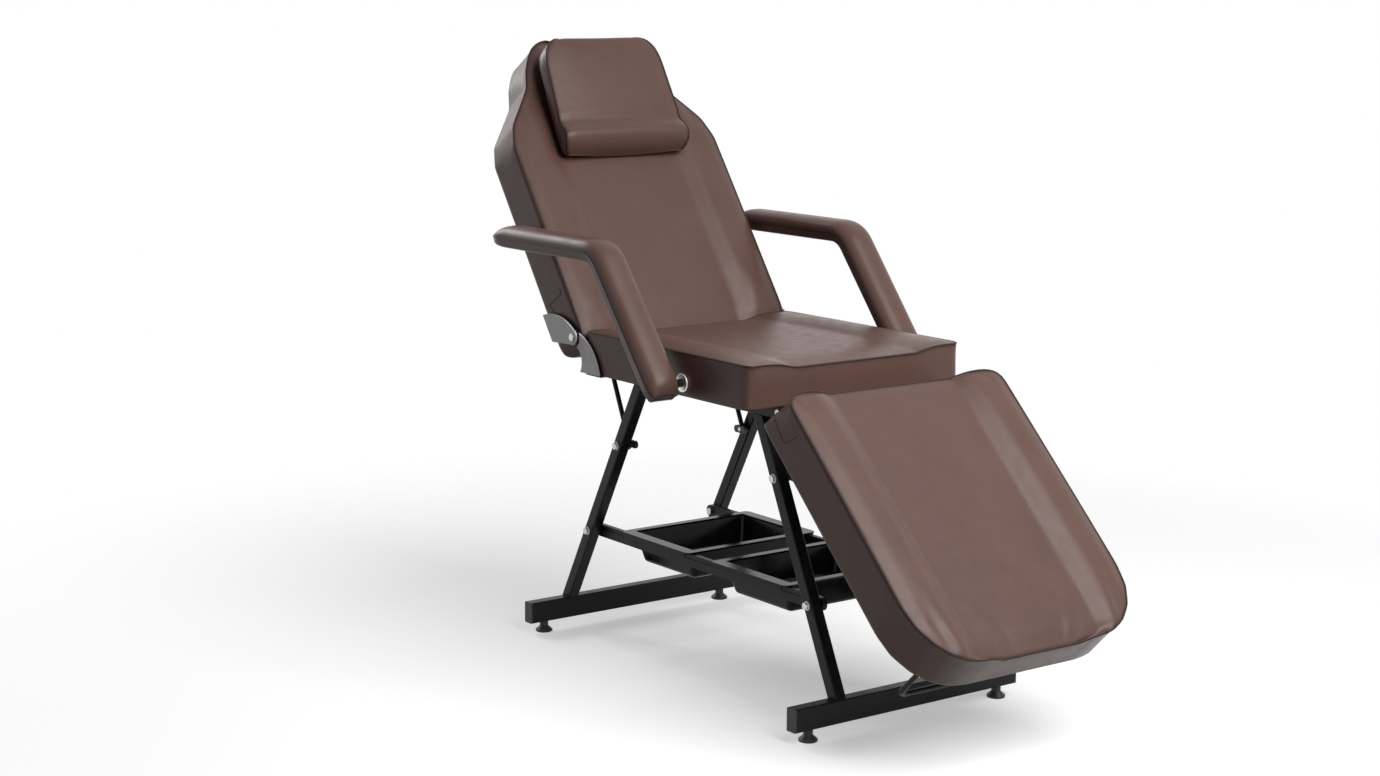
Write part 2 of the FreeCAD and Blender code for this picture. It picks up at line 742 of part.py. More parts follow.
def fasteners():
    washer = (size.washer, size.washer_thickness)
    head = size.bolt_head_height
    flats = size.bolt_head
    rail_face = leg_inner - size.rail_width
    eye_face = leg_inner - size.brace_eye_thickness
    rail_bolts = []
    brace_bolts = []
    nuts = []
    wings = []
    pivots = []
    arm_face = tube_outer + size.arm_gap + size.arm_angle
    for side in SIDES.values():
        for end in LEGS:
            y, z = leg_y(end, size.rail_middle), size.rail_middle
            inside = rail_face - size.nut_height
            rail_bolts.append(bolt_along_x(side, leg_outer, inside, y, z, size.bolt, flats, head, washer))
            nuts.append(nut_along_x(side, rail_face, y, z, size.bolt, flats, size.nut_height))
            height, top_y = BRACES[end]
            y = leg_y(end, height)
            inside = eye_face - size.wing_height
            brace_bolts.append(bolt_along_x(side, leg_outer, inside, y, height, size.bolt, flats, head, washer))
            wings.append(wing_nut(side, eye_face, y, height))
            inside = eye_face - size.nut_height
            outside = tube_outer
            brace_bolts.append(bolt_along_x(side, outside, inside, top_y, frame_mid, size.bolt, flats, head))
            nuts.append(nut_along_x(side, eye_face, top_y, frame_mid, size.bolt, flats, size.nut_height))
        inside = tube_inner - size.nut_height
        pivots.append(bolt_along_x(side, arm_face + size.running_gap, inside, leg_pivot_y, leg_pivot_z,
                                   size.pivot_bolt, size.pivot_bolt_head, head))
        pivots.append(nut_along_x(side, tube_inner, leg_pivot_y, leg_pivot_z, size.pivot_bolt,
                                  size.pivot_bolt_head, size.nut_height))
    group("rail_bolts", *rail_bolts)
    group("brace_bolts", *brace_bolts)
    group("hex_nuts", *nuts)
    group("wing_nuts", *wings)
    group("legrest_pivot_bolts", *pivots)


# Trays
def drafted_block(half_x, half_y, depth, radius):
    """A block that narrows downwards from z = 0, with round corners and a round floor."""
    body = new_body("Tub")
    block = pad(body, draw(sketch_on(body, "XY_Plane"), *rectangle(-half_x, -half_y, half_x, half_y)), depth)
    block.Reversed = True
    bind(block, "TaperAngle", -size.tray_draft)
    settle(block)
    fillet(body, block, radius, lambda edge: edge.BoundBox.ZMin < -0.5)
    return body


def tray(end, y):
    """A drafted tub hung by its rim from the two rails."""
    wall = size.tray_wall
    half_x = leg_inner - size.rail_width - size.tray_rail_gap
    half_y = size.tray_length / 2 - size.tray_ledge
    body = drafted_block(half_x, half_y, size.tray_depth, size.tray_round)
    hollow = drafted_block(half_x - wall, half_y - wall, size.tray_depth - wall, size.tray_round - wall)
    rim_x = size.tray_width / 2
    rim_y = size.tray_length / 2
    rim = sketch_on(body, "XY_Plane")
    draw(rim, *rectangle(-rim_x, -rim_y, rim_x, rim_y))
    draw(rim, *rectangle(wall - half_x, wall - half_y, half_x - wall, half_y - wall))
    flat_rim = pad(body, rim, size.tray_rim)
    upright = along(Vector(0, 0, 1))
    outer_x = number(rim_x) - 1
    fillet(body, flat_rim, size.tray_round,
           lambda edge: upright(edge) and abs(edge.BoundBox.Center.x) > outer_x)
    turned = sketch_on(body, "XY_Plane")
    edge_y = rim_y - size.tray_round
    for side in SIDES.values():
        outer = side * rim_x
        draw(turned, *rectangle(outer - side * wall, -edge_y, outer, edge_y))
    down = pad(body, turned, size.tray_lip)
    down.Reversed = True
    tub = cut(body, hollow)
    place(tub, 0, y, rail_top)
    return node(f"tray_{end}", tub)


# Cushions: lofts through sections of lines and arcs
def section(y, half, low, top, crease_x, dish, crown, edge, draw_in):
    """A cushion section across X at y: level bottom, drawn-in sides, two bolsters and a dished middle."""
    def at(x, z):
        return Vector(x, y, z)

    def arc(start, via, end):
        return Part.Arc(start, via, end).toShape()

    shoulder = top - edge
    corner = edge * (1 - math.sqrt(0.5))
    bolster = (half - edge + crease_x) / 2
    floor = Part.LineSegment(at(-half + draw_in, low), at(half - draw_in, low)).toShape()
    right = [
        arc(at(half - draw_in, low), at(half - draw_in * 0.6, (low + shoulder) / 2), at(half, shoulder)),
        arc(at(half, shoulder), at(half - corner, top - corner), at(half - edge, top)),
        arc(at(half - edge, top), at(bolster, top - dish * 0.25 + crown), at(crease_x, top - dish)),
    ]
    middle = arc(at(crease_x, top - dish), at(0, top - dish + crown), at(-crease_x, top - dish))
    left = [edge_shape.mirror(Vector(0, 0, 0), Vector(1, 0, 0)) for edge_shape in reversed(right)]
    return Part.Wire(Part.__sortEdges__([floor] + right + [middle] + left))


def end_inset(distance, radius):
    """How far a quarter round of a radius has drawn in at a distance from the end."""
    if distance >= radius:
        return 0.0
    return radius - math.sqrt(radius ** 2 - (radius - distance) ** 2)


def cushion_section(y, half, low, top, inset):
    """A section drawn in by an end's rounding. Creases come together where the cushion narrows."""
    half = half - inset
    share = half / number(cushion_half)
    crease_x = min(number(crease), max(half - number(size.bolster_least), share * number(crease)))
    edge = min(number(size.edge_round), (half - crease_x) / 2)
    return section(y, half, low, top - inset, crease_x, number(size.centre_dish) * share,
                   number(size.crown) * share, edge, number(size.side_draw))


def lofted(name, wires):
    """A closed solid through the sections, as a feature of the document."""
    feature = doc.addObject("Part::Feature", name)
    feature.Shape = Part.makeLoft(wires, True, True)
    return feature


def end_stations(length, radius):
    """Places along a cushion: close together in its two round ends."""
    steps = [0, radius * 0.12, radius * 0.45, radius]
    return steps + [length / 2] + [length - step for step in reversed(steps)]


def seat():
    depth = number(size.seat_depth)
    radius = number(size.edge_round)
    top = number(size.seat_thickness)
    wires = []
    for place_y in end_stations(depth, radius):
        inset = end_inset(min(place_y, depth - place_y), radius)
        wires.append(cushion_section(place_y, number(cushion_half), 0, top, inset))
    foam = lofted("SeatFoam", wires)
    place(foam, 0, size.seat_front, size.seat_bottom)
    inset = size.board_inset
    board = new_body("SeatBoard")
    profile = rectangle(inset - cushion_half, size.seat_front + inset, cushion_half - inset, seat_rear - inset)
    slab = pad(board, draw(sketch_on(board, "XY_Plane"), *profile), size.board_thickness)
    fillet(board, slab, size.edge_round, along(Vector(0, 0, 1)))
    place(board, 0, 0, size.seat_bottom)
    node("seat_board", board)
    bores = [socket_bore(side) for side in SIDES.values()]
    node("seat_cushion", cut(foam, board, *bores))


def socket_bore(side):
    """The room for an armrest socket in the side of the seat."""
    deep = size.pin_reach + size.soft_gap + size.socket_wall
    radius = size.pin / 2 + size.running_gap + size.socket_wall
    start = cushion_half - deep if side > 0 else -cushion_half - size.soft_gap
    return cylinder(radius, deep + size.soft_gap, start, size.armrest_pivot, arm_pivot_z, "X")


def armrest_sockets():
    """Steel tubes in the sides of the seat, each with a bright ring outside."""
    sockets = []
    bore = size.pin / 2 + size.running_gap
    deep = size.pin_reach + size.soft_gap
    ring = size.socket_ring_thickness
    for side in SIDES.values():
        start = cushion_half - deep if side > 0 else -cushion_half - ring
        tube = cylinder(bore + size.socket_wall, deep + ring, start, size.armrest_pivot, arm_pivot_z, "X")
        collar_x = cushion_half if side > 0 else -cushion_half - ring
        collar = cylinder(size.socket_ring / 2, ring, collar_x, size.armrest_pivot, arm_pivot_z, "X")
        collar = rounded(collar, ring / 3, lambda edge: edge.Curve.TypeId == "Part::GeomCircle")
        hole = cylinder(bore, deep + ring, start, size.armrest_pivot, arm_pivot_z, "X")
        sockets.append(cut(fuse(tube, collar), hole))
    group("armrest_sockets", *sockets)


def slope_share(step):
    """How much of its extra width the backrest has at a step up its shoulders, from 1 to 0."""
    return (1 + math.cos(math.pi * step)) / 2


def back_half(u):
    """Half the width of the backrest at a distance from its pivot."""
    full = number(cushion_half)
    head = number(size.head_width) / 2
    shoulder = number(shoulder_height)
    neck = number(head_height)
    if u <= shoulder:
        return full
    if u <= neck:
        return head + (full - head) * slope_share((u - shoulder) / (neck - shoulder))
    length = number(size.back_length)
    taper = (number(size.head_top_width) / 2 - head) * (u - neck) / (length - neck)
    return head + taper - end_inset(length - u, number(size.head_corner))


def backrest():
    """Backrest cushion and board, modelled level with the pivot at the origin, then tilted."""
    face = number(size.back_face)
    low = number(back_low)
    tail = number(size.back_tail)
    length = number(size.back_length)
    radius = number(size.edge_round)
    shoulder = number(shoulder_height)
    neck = number(head_height)
    wires = []
    for share, rise, drop in ((1.0, 34, 16), (0.8, 18, 8), (0.35, 7, 2), (-0.5, 0, 0)):
        wires.append(cushion_section(-tail * share, back_half(0) - drop, low + drop, face - rise, 0))
    middle = [shoulder / 2, shoulder]
    slope = [shoulder + (neck - shoulder) * step for step in SLOPE_STEPS]
    corner = number(size.head_corner)
    crest = [length - corner + corner * math.sin(math.radians(turn)) for turn in (0, 25, 45, 60, 75, 90)]
    for u in middle + slope + crest:
        inset = end_inset(length - u, radius)
        wires.append(cushion_section(u, back_half(u) + inset, low, face, inset))
    foam = lofted("BackrestFoam", wires)
    board = new_body("BackrestBoard")
    inset = size.board_inset
    wide = cushion_half - inset
    head = size.head_width / 2 - inset
    lower = shoulder_height - inset
    upper = head_height - inset
    end = size.back_length - 2 * size.edge_round
    corner = size.head_top_width / 2 - inset
    right = [(wide, inset), (wide, lower)]
    for step in SLOPE_STEPS:
        right.append((head + (wide - head) * slope_share(step), lower + (upper - lower) * step))
    right.append((corner, end))
    steps = right + [(-x, u) for x, u in reversed(right)]
    pad(board, draw(sketch_on(board, "XY_Plane", back_low), (-wide, inset), steps), size.board_thickness)
    cushion = cut(foam, board)
    for label, thing in (("backrest_cushion", cushion), ("backrest_board", copy_of(board))):
        tilt(thing, size.back_angle)
        place(thing, 0, back_pivot_y, back_pivot_z)
        node(label, thing)


def copy_of(body):
    """The same solid again, so that it can be placed by itself."""
    twin = doc.addObject("Part::Compound", "Twin")
    twin.Links = [body]
    return twin


def legrest_half(u):
    """Half the width of the legrest at a distance from its upper end."""
    full = number(cushion_half)
    radius = number(size.legrest_corner)
    past = u - (number(size.legrest_length) - radius)
    if past <= 0:
        return full
    return full - radius + math.sqrt(max(0.0, radius ** 2 - past ** 2))


def legrest():
    """Legrest cushion and board, modelled level with the pivot at the origin, then lowered."""
    length = number(size.legrest_length)
    start = number(size.legrest_start)
    radius = number(size.edge_round)
    corner = number(size.legrest_corner)
    low = number(size.leg_board_rise)
    top = low + number(size.cushion_thickness)
    ends = [0, radius * 0.12, radius * 0.45, radius, (length - corner) / 2]
    curve = [length - corner + corner * math.sin(math.radians(turn)) for turn in (0, 20, 40, 57, 70, 80, 90)]
    wires = []
    for u in ends + curve:
        inset = end_inset(min(u, length - u), radius)
        wires.append(cushion_section(-start - u, legrest_half(u), low, top, inset))
    foam = lofted("LegrestFoam", wires)
    board = new_body("LegrestBoard")
    inset = size.board_inset
    wide = cushion_half - inset
    top_end = -size.legrest_start - inset
    foot_end = -size.legrest_start - size.legrest_length + inset
    arc = size.legrest_corner - inset
    diagonal = arc * (1 - math.sqrt(0.5))
    steps = [(-wide, foot_end + arc),
             (-wide + diagonal, foot_end + diagonal, -wide + arc, foot_end),
             (wide - arc, foot_end),
             (wide - diagonal, foot_end + diagonal, wide, foot_end + arc),
             (wide, top_end), (-wide, top_end)]
    pad(board, draw(sketch_on(board, "XY_Plane", size.leg_board_rise), (-wide, top_end), steps),
        size.board_thickness)
    cushion = cut(foam, board)
    for label, thing in (("legrest_cushion", cushion), ("legrest_board", copy_of(board))):
        set_on_legrest(label, thing)


def set_on_legrest(label, thing):
    """Lower a piece of the legrest to its angle about the pivot."""
    tilt(thing, size.leg_angle)
    place(thing, 0, leg_pivot_y, leg_pivot_z)
    return node(label, thing)


def legrest_arm(name, side):
    """An angle bar under the board, with the pivot hole at its end."""
    start_x = tube_outer + size.arm_gap
    end = -size.legrest_start - size.arm_length
    top = size.leg_board_rise
    low = top - size.arm_depth
    nose = size.arm_depth / 2
    profile = (0, low), [(nose, -0.0, 0, top), (end, top), (end, low + nose), (end + nose, low), (0, low)]
    web = plate(profile, size.arm_angle, (size.pivot_bolt / 2 + size.running_gap, 0, 0))
    place(web, side * (start_x + size.arm_angle / 2))
    flange_start = start_x if side > 0 else -start_x - size.arm_flange
    run = size.arm_length - size.board_inset - size.arm_depth
    flange = box(size.arm_flange, run, size.arm_angle, flange_start, end, top - size.arm_angle)
    return set_on_legrest(f"legrest_arm_{name}", fuse(web, flange))


def lift_bail():
    """A bent rod on two plates under the foot end of the legrest."""
    body = new_body("Bail")
    half = size.bail_width / 2 - size.bail_rod / 2
    top = size.leg_board_rise - size.bail_plate_thickness
    low = size.leg_board_rise - size.bail_drop
    bend = size.bail_bend
    near = bend * (1 - math.sqrt(0.5))
    u = size.legrest_start + size.bail_place
    steps = [(-half, low + bend), (-half + near, low + near, -half + bend, low), (half - bend, low),
             (half - near, low + near, half, low + bend), (half, top)]
    path = draw(sketch_on(body, "XZ_Plane", u), (-half, top), steps, closed=False)
    ring = draw_circle(sketch_on(body, "XY_Plane", top), size.bail_rod / 2, -half, -u)
    pipe = body.newObject("PartDesign::AdditivePipe", "Rod")
    pipe.Profile = ring
    pipe.Spine = (path, [f"Edge{i}" for i in range(1, 6)])
    settle(path, ring, pipe)
    edge = size.bail_plate / 2
    plates = sketch_on(body, "XY_Plane", top)
    for side in SIDES.values():
        draw(plates, *rectangle(side * half - edge, -u - edge, side * half + edge, edge - u))
    pad(body, plates, size.bail_plate_thickness)
    return set_on_legrest("legrest_bail", body)


# Backrest hinges
def horn_profile(ear):
    """The lower hinge plate: from the underside of the seat up and back to the pivot."""
    y = back_pivot_y
    z = back_pivot_z
    front = seat_rear - size.horn_length
    foot = seat_rear + size.horn_foot
    low = size.seat_bottom
    steps = [(foot, low), (foot - 4, (low + z) / 2 - 4, y - 2, z - ear)]
    nose = [(y + ear, z, y - ear * 0.6, z + ear * 0.8)]
    back = [(front + 26, (low + z) / 2 + 14, front, low)]
    return (front, low), steps + nose + back


def fan_profile():
    """The upper hinge plate, from the pivot at the origin to the back of the backrest when level."""
    ear = size.hinge_ear
    back = back_low - size.hinge_plate
    return (size.fan_heel, back), [
        (size.fan_reach, back),
        (size.fan_reach * 0.76, back * 0.4, ear * 0.6, ear * 0.8),
        (-ear, 0, -ear * 0.6, -ear * 0.8),
        (size.fan_heel * 0.35, back * 0.62, size.fan_heel, back),
    ]


def layer(side, start, thickness):
    """Middle of a layer that begins at a distance from the middle of the table."""
    return side * (start + thickness / 2)


def back_hinge(name, side):
    """Bracket and cover on the seat, arm and cover on the backrest, and a rivet through them."""
    plate_size = size.hinge_plate
    gap = size.hinge_gap
    bore = size.rivet / 2 + size.running_gap
    arm_start = hinge_plane + plate_size + gap
    cover_start = arm_start + plate_size
    bracket = plate(horn_profile(size.hinge_ear), plate_size, (bore, back_pivot_y, back_pivot_z))
    place(bracket, layer(side, hinge_plane, plate_size))
    flange_length = size.horn_length - size.edge_round
    inner = hinge_plane + plate_size - size.hinge_flange
    flange_x = inner if side > 0 else -hinge_plane - plate_size
    foot = box(size.hinge_flange, flange_length, plate_size, flange_x,
               seat_rear - size.horn_length, size.seat_bottom - plate_size)
    web = box(plate_size, flange_length, plate_size, layer(side, hinge_plane, plate_size) - plate_size / 2,
              seat_rear - size.horn_length, size.seat_bottom - plate_size)
    node(f"back_hinge_bracket_{name}", fuse(bracket, foot, web))

    cover = plate(horn_profile(size.hinge_ear), size.hinge_cover)
    place(cover, layer(side, hinge_plane + plate_size, size.hinge_cover))
    reach = size.hinge_ear + 2 * size.hinge_cover
    room = cylinder(reach, 4 * size.hinge_cover, layer(side, hinge_plane, plate_size) - 2 * size.hinge_cover,
                    back_pivot_y, back_pivot_z, "X")
    node(f"seat_hinge_cover_{name}", cut(cover, room))

    arm = plate(fan_profile(), plate_size, (bore, 0, 0))
    place(arm, layer(side, arm_start, plate_size))
    inner = cover_start - size.hinge_flange
    flange_x = inner if side > 0 else -cover_start
    heel = size.fan_heel + size.edge_round
    flange = box(size.hinge_flange, size.fan_reach - heel, plate_size, flange_x, heel, back_low - plate_size)
    set_on_backrest(f"back_hinge_arm_{name}", fuse(arm, flange))

    shell = plate(fan_profile(), size.hinge_cover, (bore, 0, 0))
    place(shell, layer(side, cover_start, size.hinge_cover))
    set_on_backrest(f"back_hinge_cover_{name}", copy_of(shell))


def hinge_rivets():
    rivets = []
    end = hinge_plane + 2 * size.hinge_plate + size.hinge_gap + size.hinge_cover
    head = size.rivet_head_height
    for side in SIDES.values():
        shank = cylinder(size.rivet / 2, end - hinge_plane, hinge_plane if side > 0 else -end, 0, 0, "X")
        cap = cylinder(size.rivet_head / 2, head, end if side > 0 else -end - head, 0, 0, "X")
        rivets.append(fuse(shank, cap))
    together = doc.addObject("Part::Compound", "Group")
    together.Links = rivets
    set_on_backrest("back_hinge_rivets", together)


def set_on_backrest(label, thing):
    """Raise a piece of the backrest to its angle about the pivot."""
    tilt(thing, size.back_angle)
    place(thing, 0, back_pivot_y, back_pivot_z)
    return node(label, thing)


# Pillow and its strap
def pillow_section(y, half, low, lift, top, edge):
    """A pillow section across X at y: crowned back, full sides and one crowned face."""
    def at(x, z):
        return Vector(x, y, z)

    def arc(start, via, end):
        return Part.Arc(start, via, end).toShape()

    rim = low + lift
    waist = (rim + top) / 2
    back = arc(at(edge - half, rim), at(0, low), at(half - edge, rim))
    right = [
        arc(at(half - edge, rim), at(half - edge * 0.3, rim + edge * 0.3), at(half, waist)),
        arc(at(half, waist), at(half - edge * 0.3, top - edge * 0.3), at(half - edge, top)),
    ]
    face = arc(at(half - edge, top), at(0, top + number(size.crown)), at(edge - half, top))
    left = [piece.mirror(Vector(0, 0, 0), Vector(1, 0, 0)) for piece in reversed(right)]
    return Part.Wire(Part.__sortEdges__([back] + right + [face] + left))


def pillow():
    """A pillow with a neck roll at its lower edge and a crowned back, so its upper edges stand off."""
    height = number(size.pillow_height)
    wide = number(size.pillow_width) / 2
    narrow = number(size.pillow_top_width) / 2
    corner = number(size.pillow_corner)
    roll = number(size.pillow_roll)
    fold = number(size.pillow_fold)
    edge = number(size.edge_round)
    low = number(strap_face + size.strap_thickness + size.soft_gap / 2)
    curve = [height - corner + corner * math.sin(math.radians(turn)) for turn in (0, 25, 45, 60, 75, 90)]
    lower = [roll * step for step in (0, 0.1, 0.3, 0.65, 1, 1.2, 1.4)]
    wires = []
    for along_face in lower + [height / 2] + curve:
        share = max(0.0, (along_face - 1.2 * roll) / (height - 1.2 * roll))
        swell = 1 - ((along_face - 0.65 * roll) / (0.75 * roll)) ** 2
        face = fold + (number(size.pillow_top) - fold) * share
        from_top = height - along_face
        top = max(face if share > 0 else 0, roll * math.sqrt(max(0.0, swell))) - end_inset(from_top, edge)
        lift = number(size.pillow_lift) * (0.4 + 0.6 * share)
        half = wide + (narrow - wide) * along_face / height
        half = half - end_inset(from_top, corner) - end_inset(along_face, edge)
        wires.append(pillow_section(number(pillow_bottom) + along_face, half, low, lift, low + top,
                                    min(edge, 0.45 * (top - lift))))
    set_on_backrest("pillow", lofted("PillowFoam", wires))


def strap():
    """A flat hook-and-loop strap between the back of the pillow and the backrest."""
    start = pillow_bottom + size.pillow_roll
    band = box(size.strap_width, size.strap_length, size.strap_thickness,
               -size.strap_width / 2, start, strap_face)
    band = rounded(band, size.strap_width / 6, along(Vector(0, 0, 1)))
    return set_on_backrest("pillow_strap", band)


# Armrests
def armrest_path(body, y_end, offset):
    """The armrest's middle line from near its rear tip to its toe."""
    bend_y = size.armrest_pivot + size.armrest_back
    bend_z = arm_pivot_z + size.armrest_rise
    run = root(size.armrest_back * size.armrest_back + size.armrest_rise * size.armrest_rise)
    down_y = -size.armrest_back / run
    down_z = -size.armrest_rise / run
    turn = math.atan2(number(size.armrest_rise), number(size.armrest_back))
    cutback = size.armrest_bend * math.tan(turn / 2)
    first = (bend_y + cutback, bend_z)
    last = (bend_y + cutback * down_y, bend_z + cutback * down_z)
    reach = size.armrest_bend / math.cos(turn / 2) - size.armrest_bend
    way = math.pi / 2 + turn / 2
    via = (bend_y - reach * math.cos(way), bend_z - reach * math.sin(way))
    toe = (size.armrest_pivot + offset * down_y, arm_pivot_z + offset * down_z)
    steps = [first, (*via, *last), toe]
    return draw(sketch_on(body, "YZ_Plane"), (y_end, bend_z), steps, closed=False)


def armrest_sweep(y_end, toe, profile):
    """A sweep along the armrest of a section drawn by profile on a plane across its rear end."""
    body = new_body("Armrest")
    path = armrest_path(body, y_end, toe)
    ring = sketch_on(body, "XZ_Plane", -y_end)
    profile(ring)
    pipe = body.newObject("PartDesign::AdditivePipe", "Sweep")
    pipe.Profile = ring
    pipe.Spine = (path, ["Edge1", "Edge2", "Edge3"])
    settle(path, ring, pipe)
    return body, pipe


def mirrored(thing):
    """The same piece on the other side of the table."""
    twin = doc.addObject("Part::Mirroring", "Mirrored")
    twin.Source = thing
    twin.Normal = Vector(1, 0, 0)
    return twin


def armrests():
    """A bent steel tube with a pin at its lower end, in a padded cover with a round top, on both sides."""
    bend_z = arm_pivot_z + size.armrest_rise
    rear = size.armrest_pivot + size.armrest_back + size.armrest_length
    core_end = rear - size.armrest_core_inset
    half = size.armrest_width / 2
    low = bend_z - size.armrest_thickness / 2
    high = bend_z + size.armrest_thickness / 2

    def pad_profile(sketch):
        waist = low + size.armrest_thickness * 0.4
        steps = [(half - 4, low), (half, waist), (0, high, -half, waist), (4 - half, low)]
        draw(sketch, (4 - half, low), steps)

    def core_profile(sketch):
        draw_circle(sketch, size.armrest_core / 2, 0, bend_z)

    def room_profile(sketch):
        draw_circle(sketch, size.armrest_core / 2 + size.soft_gap / 2, 0, bend_z)

    padded, sweep = armrest_sweep(rear, size.armrest_toe, pad_profile)
    ends = (number(rear), number(arm_pivot_z))
    fillet(padded, sweep, size.edge_round,
           lambda edge: abs(edge.BoundBox.YMin - ends[0]) < 0.01 and edge.BoundBox.XLength > 0.01)
    room, _ = armrest_sweep(core_end + size.soft_gap / 2, size.soft_gap / 2, room_profile)
    core, _ = armrest_sweep(core_end, 0, core_profile)
    for body in (padded, room, core):
        place(body, size.armrest_middle)
    inner = cushion_half - size.pin_reach
    length = size.armrest_middle + size.armrest_core / 4 - inner
    pin = cylinder(size.pin / 2, length, inner, size.armrest_pivot, arm_pivot_z, "X")
    clear = cylinder(size.pin / 2 + size.soft_gap / 2, length + size.soft_gap / 2, inner,
                     size.armrest_pivot, arm_pivot_z, "X")
    for label, left in (("armrest_core", fuse(core, pin)), ("armrest_pad", cut(padded, room, clear))):
        node(f"{label}_left", left)
        node(f"{label}_right", mirrored(left))


def build():
    floor_bars()
    feet()
    for name, side in SIDES.items():
        for end in LEGS:
            leg(end, name, side)
            brace(end, name, side)
        tray_rail(name, side)
        back_hinge(name, side)
        legrest_arm(name, side)
    armrests()
    seat_frame()
    fasteners()
    tray("front", size.tray_front)
    tray("rear", size.tray_rear)
    seat()
    armrest_sockets()
    backrest()
    hinge_rivets()
    pillow()
    strap()
    legrest()
    lift_bail()
    doc.recompute()


def checked(thing):
    """Stop if a sub-part is empty or not valid."""
    if thing.Shape.isNull() or not thing.Shape.isValid():
        raise RuntimeError(f"{thing.Label} has no valid shape")
    return thing


build()
failed = [feature for feature in doc.Objects if {"Invalid", "Error"} & set(feature.State)]
if failed:
    owners = [f"{feature.Name} of {[owner.Label for owner in feature.InList]}" for feature in failed]
    raise RuntimeError("failed: " + ", ".join(owners))
os.makedirs("parts", exist_ok=True)
for part in NODES:
    checked(part).Shape.exportStep(f"parts/{part.Label}.step")
print(len(NODES), "parts written")
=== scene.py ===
import json
import math

import bmesh
import bpy
import numpy as np
from bpy.props import FloatProperty, FloatVectorProperty, PointerProperty
from bpy.types import Operator, Panel, PropertyGroup
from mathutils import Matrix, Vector
from mathutils.bvhtree import BVHTree
from mathutils.kdtree import KDTree


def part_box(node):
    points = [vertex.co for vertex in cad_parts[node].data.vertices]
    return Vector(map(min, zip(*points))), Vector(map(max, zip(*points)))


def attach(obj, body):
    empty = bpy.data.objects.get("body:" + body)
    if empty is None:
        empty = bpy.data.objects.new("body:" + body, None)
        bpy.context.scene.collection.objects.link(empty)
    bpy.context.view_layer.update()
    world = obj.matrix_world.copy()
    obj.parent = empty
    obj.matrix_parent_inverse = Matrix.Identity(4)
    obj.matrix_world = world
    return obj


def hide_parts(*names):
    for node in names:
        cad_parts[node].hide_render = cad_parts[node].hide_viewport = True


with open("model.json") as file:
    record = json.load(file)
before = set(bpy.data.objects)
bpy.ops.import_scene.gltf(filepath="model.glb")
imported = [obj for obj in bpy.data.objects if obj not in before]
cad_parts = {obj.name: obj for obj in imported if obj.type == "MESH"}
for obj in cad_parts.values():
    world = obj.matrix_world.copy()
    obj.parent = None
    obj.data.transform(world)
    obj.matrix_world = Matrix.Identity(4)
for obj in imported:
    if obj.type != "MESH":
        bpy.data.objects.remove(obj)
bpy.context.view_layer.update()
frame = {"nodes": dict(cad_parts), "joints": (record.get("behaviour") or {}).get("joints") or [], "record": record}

bl_info = {
    "name": "Massage table",
    "version": (1, 0, 0),
    "blender": (4, 5, 0),
    "location": "View3D > Sidebar > Massage table",
    "description": "Dresses the massage table's frame in leather, paint and plating, and lights it",
    "category": "Object",
}

JOINTS = {joint["name"]: joint for joint in frame["joints"]}
SIDES = {"left": 1, "right": -1}


# Axes of the tilted cushions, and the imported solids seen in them
class Pose:
    """Axes of a cushion: x across the table, u along the cushion towards the head, v out of its face."""

    def __init__(self, origin, along):
        self.origin = Vector(origin)
        self.across = Vector((1, 0, 0))
        self.along = Vector(along).normalized()
        self.up = self.across.cross(self.along)

    def local(self, points):
        """World points as rows of x, u and v."""
        turn = np.array([self.across, self.along, self.up])
        return (np.asarray(points) - np.array(self.origin)) @ turn.T

    def world(self, places):
        """Rows of x, u and v as world points."""
        turn = np.array([self.across, self.along, self.up])
        return np.asarray(places) @ turn + np.array(self.origin)


def leg_slope():
    """Direction up the legrest, which its lowest joint limit brings level."""
    angle = math.radians(-JOINTS["legrest_tilt"]["range_deg"][0])
    return (0, math.cos(angle), math.sin(angle))


SEAT = Pose((0, 0, 0), (0, 1, 0))
BACK = Pose(JOINTS["backrest_recline"]["pos_m"], JOINTS["pillow_slide"]["axis"])
LEG = Pose(JOINTS["legrest_tilt"]["pos_m"], leg_slope())


class Solid:
    """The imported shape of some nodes, probed with straight lines in a cushion's axes."""

    def __init__(self, pose, *names):
        points = []
        faces = []
        for name in names:
            mesh = frame["nodes"][name].data
            start = len(points)
            points += [tuple(row) for row in pose.local([corner.co for corner in mesh.vertices])]
            faces += [[start + index for index in face.vertices] for face in mesh.polygons]
        self.tree = BVHTree.FromPolygons(points, faces)
        self.low = np.min(points, axis=0)
        self.high = np.max(points, axis=0)

    def hit(self, start, direction, axis):
        """Where a line from start first meets the solid, along one axis, or None."""
        place = self.tree.ray_cast(Vector(start), Vector(direction))[0]
        return None if place is None else place[axis]


